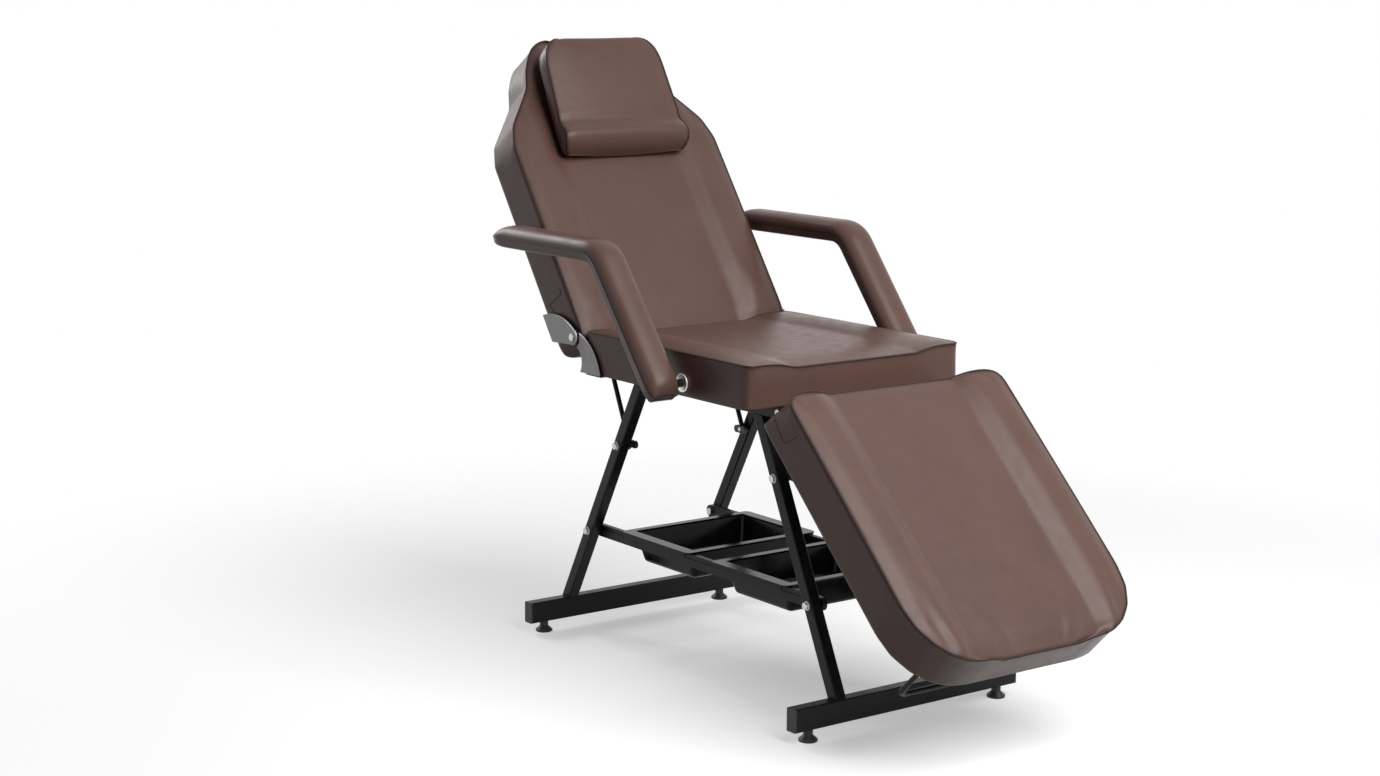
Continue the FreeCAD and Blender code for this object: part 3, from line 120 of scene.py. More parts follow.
class Profile:
    """Half width, underside and face of a cushion along its length, read from its solid.

    Corner is the radius that the face's two corners get at the upper end.
    """

    SAMPLES = 260
    LEVELS = (0.15, 0.3, 0.45, 0.6, 0.75)
    END_GAP = 0.0004
    FACE_SHARE = 0.8
    UNDER_SHARE = 0.5
    FAR = 2.0
    END_ROUND = 0.018

    def __init__(self, solid, corner=0.0):
        self.solid = solid
        low_u = solid.low[1] + self.END_GAP
        high_u = solid.high[1] - self.END_GAP
        self.u = np.linspace(low_u, high_u, self.SAMPLES)
        self.half = self.filled([self.half_at(u) for u in self.u])
        self.cut = np.zeros(self.SAMPLES)
        if corner > 0:
            from_corner = np.clip(1 - (high_u - self.u) / corner, 0, 1)
            self.cut = corner * (1 - np.sqrt(1 - from_corner ** 2))
        self.face = self.filled([solid.hit((self.FACE_SHARE * half, u, self.FAR), (0, 0, -1), 2)
                                 for u, half in zip(self.u, self.half)])
        self.under = self.filled([solid.hit((self.UNDER_SHARE * half, u, -self.FAR), (0, 0, 1), 2)
                                  for u, half in zip(self.u, self.half)])
        steps = np.hypot(np.diff(self.u), np.diff(self.half - self.cut))
        self.run = np.concatenate(([0], np.cumsum(steps)))

    def half_at(self, u):
        """Half width at one station, the largest of several levels, or None where all of them miss."""
        low = self.solid.low[2]
        depth = self.solid.high[2] - low
        found = [self.solid.hit((self.FAR, u, low + level * depth), (-1, 0, 0), 0) for level in self.LEVELS]
        return max((value for value in found if value is not None), default=None)

    def filled(self, values):
        """The values as an array, with missed stations taken from their neighbours."""
        known = [index for index, value in enumerate(values) if value is not None]
        return np.interp(range(len(values)), known, [values[index] for index in known])

    def at(self, share):
        """Station, half width, underside and face at shares of the way along the outline."""
        run = share * self.run[-1]
        u = np.interp(run, self.run, self.u)
        return u, self.half_of(u), self.under_of(u), self.face_of(u)

    def half_of(self, u):
        return np.interp(u, self.u, self.half)

    def cut_of(self, u):
        """How much narrower the face is than the base, at its rounded corners."""
        return np.interp(u, self.u, self.cut)

    def under_of(self, u):
        return np.interp(u, self.u, self.under)

    def face_of(self, u):
        """Level of the face, without the solid's rounding at its two ends."""
        inside = np.clip(u, self.u[0] + self.END_ROUND, self.u[-1] - self.END_ROUND)
        return np.interp(inside, self.u, self.face)


# Settings that a user would change
class UpholsterySettings(PropertyGroup):
    """Sizes and colour of the leather cushions."""

    colour: FloatVectorProperty(name="Leather", description="Colour of the brown leather",
                                subtype="COLOR", size=3, min=0, max=1, default=(0.122, 0.066, 0.053))
    cell: FloatProperty(name="Cell", description="Spacing of the points of a cushion before it is smoothed",
                        unit="LENGTH", default=0.010)
    swell: FloatProperty(name="Swell", description="How far a panel starts inside its finished face",
                         unit="LENGTH", default=0.004)
    reach: FloatProperty(name="Reach", description="How far the filling may push a panel out",
                         unit="LENGTH", default=0.007)
    pressure: FloatProperty(name="Pressure", description="Pressure of the filling on the cover",
                            default=4.0)
    crease: FloatProperty(name="Crease", description="Side bolsters' inner edges from the middle line",
                          unit="LENGTH", default=0.150)
    bolster: FloatProperty(name="Bolster", description="Least width of a side bolster",
                           unit="LENGTH", default=0.040)
    seam_drop: FloatProperty(name="Seam drop", description="Edge seams below the cushion's face",
                             unit="LENGTH", default=0.006)
    edge_round: FloatProperty(name="Edge rounding", description="Width of the rounding along the edge seams",
                              unit="LENGTH", default=0.028)
    side_draw: FloatProperty(name="Side draw", description="How far the sides pull in at mid height",
                             unit="LENGTH", default=0.001)
    side_swell: FloatProperty(name="Side swell", description="Swell of the sides as a share of the faces'",
                              subtype="FACTOR", min=0, max=1, default=0.35)
    tuck: FloatProperty(name="Tuck", description="How far the cover is tucked in round the board",
                        unit="LENGTH", default=0.004)
    piping: FloatProperty(name="Piping", description="Radius of the piping in the seams",
                          unit="LENGTH", default=0.0018)


class ArmrestSettings(PropertyGroup):
    """Shape of the padded armrests."""

    bend_back: FloatProperty(name="Bend back", description="Bend behind the pivot",
                             unit="LENGTH", default=0.190)
    bend_rise: FloatProperty(name="Bend rise", description="Bend above the pivot",
                             unit="LENGTH", default=0.238)
    bend_radius: FloatProperty(name="Bend radius", description="Radius of the bend's middle line",
                               unit="LENGTH", default=0.062)
    toe: FloatProperty(name="Toe", description="Pad past the pivot", unit="LENGTH", default=0.026)
    width: FloatProperty(name="Width", description="Width of the pad", unit="LENGTH", default=0.074)
    thickness: FloatProperty(name="Thickness", description="Thickness of the pad",
                             unit="LENGTH", default=0.047)
    seam_share: FloatProperty(name="Seam", description="Seam height as a share of the thickness",
                              subtype="FACTOR", min=0, max=1, default=0.45)
    tip: FloatProperty(name="Tip", description="Length of the rounded rear tip",
                       unit="LENGTH", default=0.055)
    boot: FloatProperty(name="Boot", description="Length of the rounded lower end",
                        unit="LENGTH", default=0.040)


class FinishSettings(PropertyGroup):
    """Colours of the hard parts."""

    black: FloatVectorProperty(name="Black paint", description="Powder coat on the steel tubes",
                               subtype="COLOR", size=3, min=0, max=1, default=(0.010, 0.010, 0.0105))
    zinc: FloatVectorProperty(name="Zinc", description="Plated bolts, nuts and rivets",
                              subtype="COLOR", size=3, min=0, max=1, default=(0.56, 0.56, 0.55))
    bright: FloatVectorProperty(name="Bright steel", description="Armrest rings and sockets",
                                subtype="COLOR", size=3, min=0, max=1, default=(0.80, 0.78, 0.74))
    tray: FloatVectorProperty(name="Tray", description="Glossy plastic of the trays",
                              subtype="COLOR", size=3, min=0, max=1, default=(0.006, 0.006, 0.0065))
    moulding: FloatVectorProperty(name="Black moulding", description="Feet, end caps and wing nuts",
                                  subtype="COLOR", size=3, min=0, max=1, default=(0.014, 0.014, 0.014))
    # Painted light: the default is lightened nearly to white for light that the lamps don't bring to the hinge
    # covers
    grey: FloatVectorProperty(name="Grey moulding", description="Hinge covers",
                              subtype="COLOR", size=3, min=0, max=1, default=(0.92, 0.92, 0.92))
    plywood: FloatVectorProperty(name="Plywood", description="Boards under the cushions",
                                 subtype="COLOR", size=3, min=0, max=1, default=(0.16, 0.11, 0.07))
    webbing: FloatVectorProperty(name="Webbing", description="Hook-and-loop strap of the pillow",
                                 subtype="COLOR", size=3, min=0, max=1, default=(0.030, 0.022, 0.020))


class StageSettings(PropertyGroup):
    """Camera and light."""

    azimuth: FloatProperty(name="Azimuth", description="Camera round the table", subtype="ANGLE",
                           default=math.radians(-34.281))
    elevation: FloatProperty(name="Elevation", description="Camera above the horizon", subtype="ANGLE",
                             default=math.radians(9.134))
    distance: FloatProperty(name="Distance", description="Camera from its target", unit="LENGTH",
                            default=5.0978)
    target: FloatVectorProperty(name="Target", description="Point that the camera looks at",
                                subtype="TRANSLATION", size=3, default=(0, 0.6408, 0.55))
    lens: FloatProperty(name="Lens", description="Focal length in millimetres", default=60.10)
    shift: FloatVectorProperty(name="Shift", description="Lens shift right and up", size=2,
                               default=(0.0717, -0.0232))
    key: FloatProperty(name="Key light", description="Power of the large lamp in front",
                       default=115.0)
    rim: FloatProperty(name="Rim light", description="Power of the lamp behind the head end", default=38.0)
    ambient: FloatProperty(name="Ambient", description="Light from all round", default=0.05)
    bounce: FloatProperty(name="Bounce", description="Share of the light that the floor throws back",
                          subtype="FACTOR", min=0, max=1, default=0.12)


# Finishes
class Finish:
    """A material while it is made: its shader, and the places on the piece that drive its patterns."""

    def __init__(self, name, colour, roughness, metallic=0.0):
        self.material = bpy.data.materials.new(name)
        self.material.use_nodes = True
        self.tree = self.material.node_tree
        self.shader = self.tree.nodes["Principled BSDF"]
        self.shader.inputs["Base Color"].default_value = (*colour, 1)
        self.shader.inputs["Roughness"].default_value = roughness
        self.shader.inputs["Metallic"].default_value = metallic
        self.place = self.add("ShaderNodeTexCoord").outputs["Object"]
        self.normal = None

    def add(self, kind):
        return self.tree.nodes.new(kind)

    def link(self, start, end):
        self.tree.links.new(start, end)

    def stretched(self, scale):
        """The places, drawn out or squeezed along the axes."""
        mapping = self.add("ShaderNodeMapping")
        mapping.inputs["Scale"].default_value = scale
        self.link(self.place, mapping.inputs["Vector"])
        return mapping.outputs["Vector"]

    def noise(self, scale, detail=3.0, places=None):
        """Cloudy pattern with that many features a metre."""
        node = self.add("ShaderNodeTexNoise")
        node.inputs["Scale"].default_value = scale
        node.inputs["Detail"].default_value = detail
        self.link(places or self.place, node.inputs["Vector"])
        return node.outputs["Fac"]

    def pebbles(self, scale):
        """Grain of small rounded cells."""
        node = self.add("ShaderNodeTexVoronoi")
        node.feature = "SMOOTH_F1"
        node.inputs["Scale"].default_value = scale
        self.link(self.place, node.inputs["Vector"])
        return node.outputs["Distance"]

    def waves(self, scale, direction):
        """Parallel bands across one axis."""
        node = self.add("ShaderNodeTexWave")
        node.bands_direction = direction
        node.inputs["Scale"].default_value = scale
        self.link(self.place, node.inputs["Vector"])
        return node.outputs["Fac"]

    def span(self, value, low, high, start=0.3, end=0.7):
        """The value moved from start..end to low..high."""
        node = self.add("ShaderNodeMapRange")
        node.inputs["From Min"].default_value = start
        node.inputs["From Max"].default_value = end
        node.inputs["To Min"].default_value = low
        node.inputs["To Max"].default_value = high
        self.link(value, node.inputs["Value"])
        return node.outputs["Result"]

    def attribute(self, name):
        node = self.add("ShaderNodeAttribute")
        node.attribute_name = name
        return node.outputs["Fac"]

    def mixed(self, factor, first, second):
        """Two colours mixed; each is a colour or a socket."""
        node = self.add("ShaderNodeMix")
        node.data_type = "RGBA"
        self.link(factor, node.inputs["Factor"])
        for socket, colour in ((node.inputs[6], first), (node.inputs[7], second)):
            if isinstance(colour, bpy.types.NodeSocket):
                self.link(colour, socket)
            else:
                socket.default_value = (*colour, 1)
        return node.outputs[2]

    def blend(self, factor, first, second):
        """Two shaders mixed by a factor."""
        node = self.add("ShaderNodeMixShader")
        for start, end in zip((factor, first, second), node.inputs):
            self.link(start, end)
        return node.outputs[0]

    def raise_by(self, height, strength, distance):
        """Relief of that depth, over the relief that is there already."""
        node = self.add("ShaderNodeBump")
        node.inputs["Strength"].default_value = strength
        node.inputs["Distance"].default_value = distance
        self.link(height, node.inputs["Height"])
        if self.normal is not None:
            self.link(self.normal, node.inputs["Normal"])
        self.normal = node.outputs["Normal"]
        self.link(self.normal, self.shader.inputs["Normal"])

    def colour(self, socket):
        self.link(socket, self.shader.inputs["Base Color"])

    def mottle(self, colour, scale, detail, dark, light):
        """Cloudy changes between a darker and a lighter shade of a colour."""
        clouds = self.span(self.noise(scale, detail), 0, 1)
        self.colour(self.mixed(clouds, shaded(colour, dark), shaded(colour, light)))

    def roughness(self, socket):
        self.link(socket, self.shader.inputs["Roughness"])

    def patchy(self, low, high, scale, detail):
        """Roughness between two values, in cloudy patches."""
        self.roughness(self.span(self.noise(scale, detail), low, high))

    def gloss(self, level):
        self.shader.inputs["Specular IOR Level"].default_value = level


def shaded(colour, share):
    return tuple(share * part for part in colour)


def brown_leather():
    """Coated leather: fine pebbled grain, slow colour changes, and painted shade that darkens it towards the
    seams.
    """
    colour = bpy.context.scene.upholstery.colour
    finish = Finish("brown_leather", colour, 0.34)
    clouds = finish.span(finish.noise(9, 4), 0, 1)
    plain = finish.mixed(clouds, shaded(colour, 0.93), shaded(colour, 1.06))
    # Painted shade: near the seams the colour falls to a quarter of the leather's, for the shade in the seam
    # valleys
    seam = finish.attribute("seam")
    finish.colour(finish.mixed(seam, plain, shaded(colour, 0.25)))
    finish.patchy(0.29, 0.39, scale=40, detail=5)
    finish.raise_by(finish.noise(22, 2), strength=0.03, distance=0.004)
    finish.raise_by(finish.pebbles(1100), strength=0.16, distance=0.0005)
    finish.gloss(0.24)
    return finish.material


def painted_shade_piping():
    """The same leather drawn tight over a cord, much darker: painted shade along the seam lines."""
    # Painted shade: the piping's colour is cut to 0.42 of the leather's, for the shade along the seam lines
    colour = shaded(bpy.context.scene.upholstery.colour, 0.42)
    finish = Finish("painted_shade_piping", colour, 0.46)
    finish.mottle(colour, scale=120, detail=3, dark=0.85, light=1.1)
    finish.raise_by(finish.pebbles(1300), strength=0.15, distance=0.0004)
    finish.gloss(0.12)
    return finish.material


def black_powder_coat():
    """Satin black paint with a fine orange peel and slightly rubbed patches."""
    colour = bpy.context.scene.finishes.black
    finish = Finish("black_powder_coat", colour, 0.36)
    finish.mottle(colour, scale=14, detail=4, dark=0.85, light=1.5)
    finish.patchy(0.30, 0.44, scale=30, detail=5)
    finish.raise_by(finish.noise(900, 1), strength=0.12, distance=0.0003)
    finish.gloss(0.18)
    return finish.material


def zinc_plate():
    """Bright zinc plating with faint streaks and dull patches."""
    colour = bpy.context.scene.finishes.zinc
    finish = Finish("zinc_plate", colour, 0.34, 1.0)
    finish.mottle(colour, scale=220, detail=3, dark=0.86, light=1.08)
    finish.patchy(0.26, 0.42, scale=160, detail=4)
    finish.raise_by(finish.noise(700, 2), strength=0.06, distance=0.0002)
    return finish.material


def bright_steel():
    """Polished steel of the armrest rings, with fine turning lines."""
    colour = bpy.context.scene.finishes.bright
    finish = Finish("bright_steel", colour, 0.32, 1.0)
    finish.patchy(0.27, 0.38, scale=90, detail=4)
    finish.raise_by(finish.noise(500, 2, finish.stretched((1, 0.1, 0.1))), strength=0.05, distance=0.0002)
    return finish.material


def tray_plastic():
    """Glossy black plastic, wiped and faintly dusty."""
    colour = bpy.context.scene.finishes.tray
    finish = Finish("tray_plastic", colour, 0.16)
    finish.mottle(colour, scale=18, detail=5, dark=1.0, light=1.8)
    finish.patchy(0.12, 0.24, scale=45, detail=5)
    finish.raise_by(finish.noise(60, 1), strength=0.03, distance=0.001)
    finish.gloss(0.15)
    return finish.material


def black_moulding():
    """Matt moulded plastic with a spark-eroded grain."""
    colour = bpy.context.scene.finishes.moulding
    finish = Finish("black_moulding", colour, 0.52)
    finish.mottle(colour, scale=80, detail=4, dark=0.8, light=1.5)
    finish.patchy(0.46, 0.60, scale=120, detail=4)
    finish.raise_by(finish.noise(1500, 2), strength=0.15, distance=0.0003)
    return finish.material


def grey_moulding():
    """Satin grey plastic of the hinge covers, its colour lightened nearly to white as painted light, for light
    that the lamps don't bring to the covers.
    """
    colour = bpy.context.scene.finishes.grey
    finish = Finish("grey_moulding", colour, 0.40)
    finish.mottle(colour, scale=50, detail=4, dark=0.92, light=1.06)
    finish.patchy(0.34, 0.48, scale=140, detail=4)
    finish.raise_by(finish.noise(1200, 2), strength=0.10, distance=0.0003)
    return finish.material


def plywood():
    """Birch plywood: long grain with pores."""
    colour = bpy.context.scene.finishes.plywood
    finish = Finish("plywood", colour, 0.62)
    along = finish.stretched((1, 0.06, 0.06))
    grain = finish.noise(140, 6, along)
    finish.colour(finish.mixed(finish.span(grain, 0, 1), shaded(colour, 0.72), shaded(colour, 1.18)))
    finish.roughness(finish.span(grain, 0.55, 0.70))
    finish.raise_by(grain, strength=0.15, distance=0.0006)
    return finish.material


def strap_webbing():
    """Woven hook-and-loop strap: fine ribs along it with cross threads."""
    colour = bpy.context.scene.finishes.webbing
    finish = Finish("strap_webbing", colour, 0.72)
    ribs = finish.waves(420, "Z")
    threads = finish.waves(300, "X")
    finish.colour(finish.mixed(ribs, shaded(colour, 0.6), shaded(colour, 1.6)))
    finish.raise_by(ribs, strength=0.35, distance=0.0005)
    finish.raise_by(threads, strength=0.2, distance=0.0003)
    return finish.material


def painted(material, *names):
    """Gives CAD nodes a finish, in the slots they already have."""
    for name in names:
        slots = frame["nodes"][name].material_slots
        if not slots:
            frame["nodes"][name].data.materials.append(material)
        for slot in slots:
            slot.material = material


# Modelling helpers
# The places on a cube shell run from -1 to 1, and those past ON_SIDE lie on one of its sides
ON_SIDE = 0.999
SEAM_STEPS = 3
FRAMES = 20
LEAST_MOVE = 1e-9
CLOTH = {
    "quality": 5,
    "mass": 0.3,
    "tension_stiffness": 20,
    "compression_stiffness": 20,
    "shear_stiffness": 10,
    "bending_stiffness": 4,
    "use_pressure": True,
}


def only(piece):
    """Selects one piece alone."""
    if bpy.context.object is not None and bpy.context.object.mode != "OBJECT":
        bpy.ops.object.mode_set(mode="OBJECT")
    bpy.ops.object.select_all(action="DESELECT")
    piece.select_set(True)
    bpy.context.view_layer.objects.active = piece


def applied(piece, kind, **values):
    """Adds a modifier and applies it."""
    only(piece)
    modifier = piece.modifiers.new(kind.lower(), kind)
    for name, value in values.items():
        setattr(modifier, name, value)
    bpy.ops.object.modifier_apply(modifier=modifier.name)


def smoothed(piece):
    """One subdivision and smooth shading."""
    applied(piece, "SUBSURF", levels=1, render_levels=1)
    only(piece)
    bpy.ops.object.shade_smooth()


def rows_of(piece, name):
    """A value of the piece's points, as rows of three numbers."""
    rows = np.empty(3 * len(piece.data.vertices))
    piece.data.vertices.foreach_get(name, rows)
    return rows.reshape(-1, 3)


def places_of(piece):
    return rows_of(piece, "co")


def points_of(piece, order):
    """Chosen points of a piece, in that order."""
    return [Vector(row) for row in places_of(piece)[order]]


def set_places(piece, rows):
    piece.data.vertices.foreach_set("co", np.asarray(rows, dtype=float).ravel())
    piece.data.update()


def box_shell(name, counts):
    """A cube two units wide, its faces divided into cells, and the cube's places of its points."""
    bpy.ops.object.select_all(action="DESELECT")
    bpy.ops.mesh.primitive_cube_add(size=2)
    piece = bpy.context.object
    piece.name = name
    piece.data.name = name
    bpy.ops.object.mode_set(mode="EDIT")
    bpy.ops.mesh.select_mode(type="EDGE")
    for axis, count in enumerate(counts):
        select_along(piece, axis)
        bpy.ops.mesh.subdivide(number_cuts=count - 1)
    bpy.ops.object.mode_set(mode="OBJECT")
    return piece, places_of(piece)


def select_along(piece, axis):
    """Selects the edges that run along one axis."""
    shell = bmesh.from_edit_mesh(piece.data)
    for edge in shell.edges:
        run = edge.verts[1].co - edge.verts[0].co
        edge.select_set(abs(run[axis]) > 0.5 * run.length)
    shell.select_flush_mode()
    bmesh.update_edit_mesh(piece.data)


def sharpened(piece, chosen):
    """Keeps the edges between chosen points sharp when the piece is smoothed."""
    ends = np.empty(2 * len(piece.data.edges), dtype=int)
    piece.data.edges.foreach_get("vertices", ends)
    layer = piece.data.attributes.new("crease_edge", "FLOAT", "EDGE")
    layer.data.foreach_set("value", chosen[ends].reshape(-1, 2).all(axis=1).astype(float))


def eased(value, start, end):
    """0 before start, 1 after end, smooth between."""
    share = np.clip((value - start) / (end - start), 0, 1)
    return share * share * (3 - 2 * share)


def shrunk(piece, depth):
    """Draws each point of a piece in by its depth, to leave room for the filling."""
    set_places(piece, places_of(piece) - depth[:, None] * rows_of(piece, "normal"))


def weighted(piece, weights):
    """A group of the points that the cloth simulation holds, each by its weight."""
    group = piece.vertex_groups.new(name="held")
    for index, weight in enumerate(weights):
        if weight > 0:
            group.add([index], float(weight), "REPLACE")
    return group


def cover(piece, group):
    """Makes a piece a leather cover that is under pressure from inside and held at a group of points."""
    cloth = piece.modifiers.new("cover", "CLOTH")
    for name, value in CLOTH.items():
        setattr(cloth.settings, name, value)
    cloth.settings.uniform_pressure_force = bpy.context.scene.upholstery.pressure
    cloth.settings.effector_weights.gravity = 0
    cloth.settings.vertex_group_mass = group.name
    cloth.collision_settings.use_collision = False
    return cloth


def puffed(piece, held, reach):
    """Lets pressure fill the cover: held points stay, and no point moves further than reach."""
    scene = bpy.context.scene
    start = places_of(piece)
    group = weighted(piece, held)
    cloth = cover(piece, group)
    for step in range(1, FRAMES + 1):
        scene.frame_set(step)
    shown = piece.evaluated_get(bpy.context.evaluated_depsgraph_get())
    moved = places_of(shown) - start
    length = np.linalg.norm(moved, axis=1, keepdims=True)
    capped = moved * np.tanh(length / reach) * reach / np.maximum(length, LEAST_MOVE)
    piece.modifiers.remove(cloth)
    piece.vertex_groups.remove(group)
    set_places(piece, start + capped)
    scene.frame_set(1)


def paint_seam_shade(piece, points, width):
    """Stores how near each point lies to the seams, as the mask of the painted shade along them."""
    tree = KDTree(len(points))
    for index, point in enumerate(points):
        tree.insert(point, index)
    tree.balance()
    near = [math.exp(-(tree.find(corner.co)[2] / width) ** 2) for corner in piece.data.vertices]
    layer = piece.data.attributes.new("seam", "FLOAT", "POINT")
    layer.data.foreach_set("value", near)


def between(points, count):
    """Points along a line of points, with count steps for each of its runs."""
    filled = []
    for first, second in zip(points, points[1:]):
        filled += [first.lerp(second, step / count) for step in range(count)]
    return filled + [points[-1]]


def lay_tube(name, points, radius, closed):
    """A round cord along points, as a mesh."""
    curve = bpy.data.curves.new(name, "CURVE")
    curve.dimensions = "3D"
    curve.bevel_depth = radius
    curve.bevel_resolution = 2
    curve.use_fill_caps = not closed
    spline = curve.splines.new("POLY")
    spline.points.add(len(points) - 1)
    for knot, place in zip(spline.points, points):
        knot.co = (*place, 1)
    spline.use_cyclic_u = closed
    piece = bpy.data.objects.new(name, curve)
    bpy.context.collection.objects.link(piece)
    only(piece)
    bpy.ops.object.convert(target="MESH")
    piece = bpy.context.object
    only(piece)
    bpy.ops.object.shade_smooth()
    return piece


def worn(piece, material, body):
    """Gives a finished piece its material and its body."""
    piece.data.materials.clear()
    piece.data.materials.append(material)
    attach(piece, body)


def leather(name):
    """One of the two leathers, made once."""
    makers = {"brown_leather": brown_leather, "painted_shade_piping": painted_shade_piping}
    return bpy.data.materials.get(name) or makers[name]()


def rim(grid):
    """True for the points on the four sides of the shell."""
    return np.max(np.abs(grid[:, :2]), axis=1) > ON_SIDE


def ring_order(grid, level):
    """Indices of the points round the shell at one level, in order."""
    chosen = np.flatnonzero(rim(grid) & (np.abs(grid[:, 2] - level) < 1 - ON_SIDE))
    return chosen[np.argsort(np.arctan2(grid[chosen, 1], grid[chosen, 0]))]


# The three large cushions
FEWEST_CELLS = 6
CORNER_FADE = (-0.7, 0.6)
# SEAM_SHADE is the width of the painted shade along the seams
SEAM_SHADE = 0.005
SIDE_SEAM = 0.0009
SIDE_STEPS = 8
# Seams on a cushion's sides: how far each point is along the cushion and out of its face, from the hinge
BACK_FLAP = ((0.104, -0.076), (0.099, -0.048), (0.0985, 0.002), (0.108, 0.004))
BACK_SLIT = ((0.099, -0.048), (0.077, -0.041))
LEG_SLIT = ((-0.022, 0.050), (-0.083, 0.043), (-0.096, 0.080))


def cushion_places(profile, grid, dish, slope):
    """Cushion points in its own axes: dished middle, raised bolsters, sides drawn in."""
    settings = bpy.context.scene.upholstery
    u, half, under, face = profile.at((grid[:, 1] + 1) / 2)
    half = half - profile.cut_of(u) * eased(grid[:, 2], *CORNER_FADE)
    x = grid[:, 0] * half
    crease = np.minimum(settings.crease, half - settings.bolster)
    rise = 1 - (1 - np.clip((np.abs(x) - crease) / slope, 0, 1)) ** 2
    from_side = half - np.abs(x)
    from_end = np.minimum(u - profile.u[0], profile.u[-1] - u)
    from_edge = np.minimum(from_side, from_end)
    drop = settings.seam_drop * np.clip(1 - from_edge / settings.edge_round, 0, 1) ** 2
    top = face - dish * (1 - rise) - drop
    v = under + (top - under) * (grid[:, 2] + 1) / 2
    v = v + np.where((grid[:, 2] < -ON_SIDE) & ~rim(grid), settings.tuck, 0)
    side = np.abs(grid[:, 0]) > ON_SIDE
    x = x - np.where(side, np.sign(grid[:, 0]) * settings.side_draw * (1 - grid[:, 2] ** 2), 0)
    return np.stack([x, u, v], axis=1)


def cell_counts(profile):
    """Cells across, along and through a cushion."""
    cell = bpy.context.scene.upholstery.cell
    width = 2 * profile.half.max()
    depth = profile.face.max() - profile.under.min()
    return [max(FEWEST_CELLS, round(size / cell)) for size in (width, profile.run[-1], depth)]


def swell_share(grid):
    """Share of the swell: all of it on the face, less on the sides, none at the base."""
    side = bpy.context.scene.upholstery.side_swell * (grid[:, 2] + 1) / 2
    return np.where(grid[:, 2] > ON_SIDE, 1, side)


def fill_cushion(piece, grid, seam):
    """Fills a cushion's cover, held along its seam and over its base."""
    settings = bpy.context.scene.upholstery
    held = (grid[:, 2] < -ON_SIDE).astype(float)
    held[seam] = 1
    shrunk(piece, np.where(held < 1, settings.swell * swell_share(grid), 0))
    puffed(piece, held, settings.reach)


def upholster(name, pose, body, dish, slope, proud, corner=0.0):
    """Makes a leather cushion over a CAD cushion, with piping in its edge seam.

    Dish is the middle's depth below the bolsters, slope the width over which a bolster rises,
    proud the most that the face may stand above its solid, corner the radius at the upper end.
    """
    settings = bpy.context.scene.upholstery
    node = f"{name}_cushion"
    profile = Profile(Solid(pose, node, f"{name}_board"), corner)
    piece, grid = box_shell(name, cell_counts(profile))
    set_places(piece, pose.world(cushion_places(profile, grid, dish, slope)))
    order = ring_order(grid, 1)
    fill_cushion(piece, grid, order)
    keep_inside(piece, pose, profile, proud)
    sharpened(piece, rim(grid) & (grid[:, 2] < -ON_SIDE))
    smoothed(piece)
    seam = points_of(piece, order)
    paint_seam_shade(piece, between(seam + seam[:1], SEAM_STEPS), SEAM_SHADE)
    worn(piece, leather("brown_leather"), body)
    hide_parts(node)
    cord = lay_tube(f"{name}_piping", seam, settings.piping, True)
    worn(cord, leather("painted_shade_piping"), body)
    return piece


def side_seam(piece, pose, body, name, points):
    """Lays a seam through stations and levels on both sides of a finished cushion."""
    spots = pose.local([corner.co for corner in piece.data.vertices])
    faces = [list(face.vertices) for face in piece.data.polygons]
    tree = BVHTree.FromPolygons([tuple(spot) for spot in spots], faces)
    path = between([Vector((0, *point)) for point in points], SIDE_STEPS)
    for side, sign in SIDES.items():
        found = [tree.ray_cast(spot + Vector((sign, 0, 0)), Vector((-sign, 0, 0)))[0] for spot in path]
        places = [Vector(row) for row in pose.world([spot for spot in found if spot is not None])]
        seam = lay_tube(f"{piece.name}_{name}_{side}", places, SIDE_SEAM, False)
        worn(seam, leather("painted_shade_piping"), body)


def keep_inside(piece, pose, profile, proud):
    """Keeps a cushion within its outline, and no more than proud above its face."""
    rows = pose.local(places_of(piece))
    rows[:, 1] = np.clip(rows[:, 1], profile.u[0], profile.u[-1])
    half = profile.half_of(rows[:, 1])
    rows[:, 0] = np.clip(rows[:, 0], -half, half)
    rows[:, 2] = np.minimum(rows[:, 2], profile.face_of(rows[:, 1]) + proud)
    set_places(piece, pose.world(rows))


class SeatOperator(Operator):
    """Makes the seat cushion with its raised sides and piped edge"""

    bl_idname = "massage_table.seat"
    bl_label = "Seat cushion"

    def execute(self, context):
        upholster("seat", SEAT, "base", dish=0.011, slope=0.070, proud=0.002)
        return {"FINISHED"}


class BackrestOperator(Operator):
    """Makes the backrest cushion with its shoulders, bolsters and piped edge"""

    bl_idname = "massage_table.backrest"
    bl_label = "Backrest cushion"

    def execute(self, context):
        piece = upholster("backrest", BACK, "backrest", dish=0.014, slope=0.056, proud=0.0)
        side_seam(piece, BACK, "backrest", "flap", BACK_FLAP)
        side_seam(piece, BACK, "backrest", "slit", BACK_SLIT)
        return {"FINISHED"}


class LegrestOperator(Operator):
    """Makes the legrest cushion with its bolsters and rounded foot end"""

    bl_idname = "massage_table.legrest"
    bl_label = "Legrest cushion"

    def execute(self, context):
        piece = upholster("legrest", LEG, "legrest", dish=0.017, slope=0.056, proud=0.002, corner=0.030)
        side_seam(piece, LEG, "legrest", "slit", LEG_SLIT)
        return {"FINISHED"}


# Pillow
PILLOW_PROBE = 0.9
PILLOW_SWELL = 0.0025
PILLOW_PROUD = 0.006
# The fold's two ends and the length of the neck roll's rounding, from the pillow's lower edge
FOLD = (0.040, 0.092)
ROLL = 0.030
FOLD_DIP = 0.009
THIN_EDGE = 0.15
SIDE_TUCK = 0.003
SIDE_DROP = 0.006


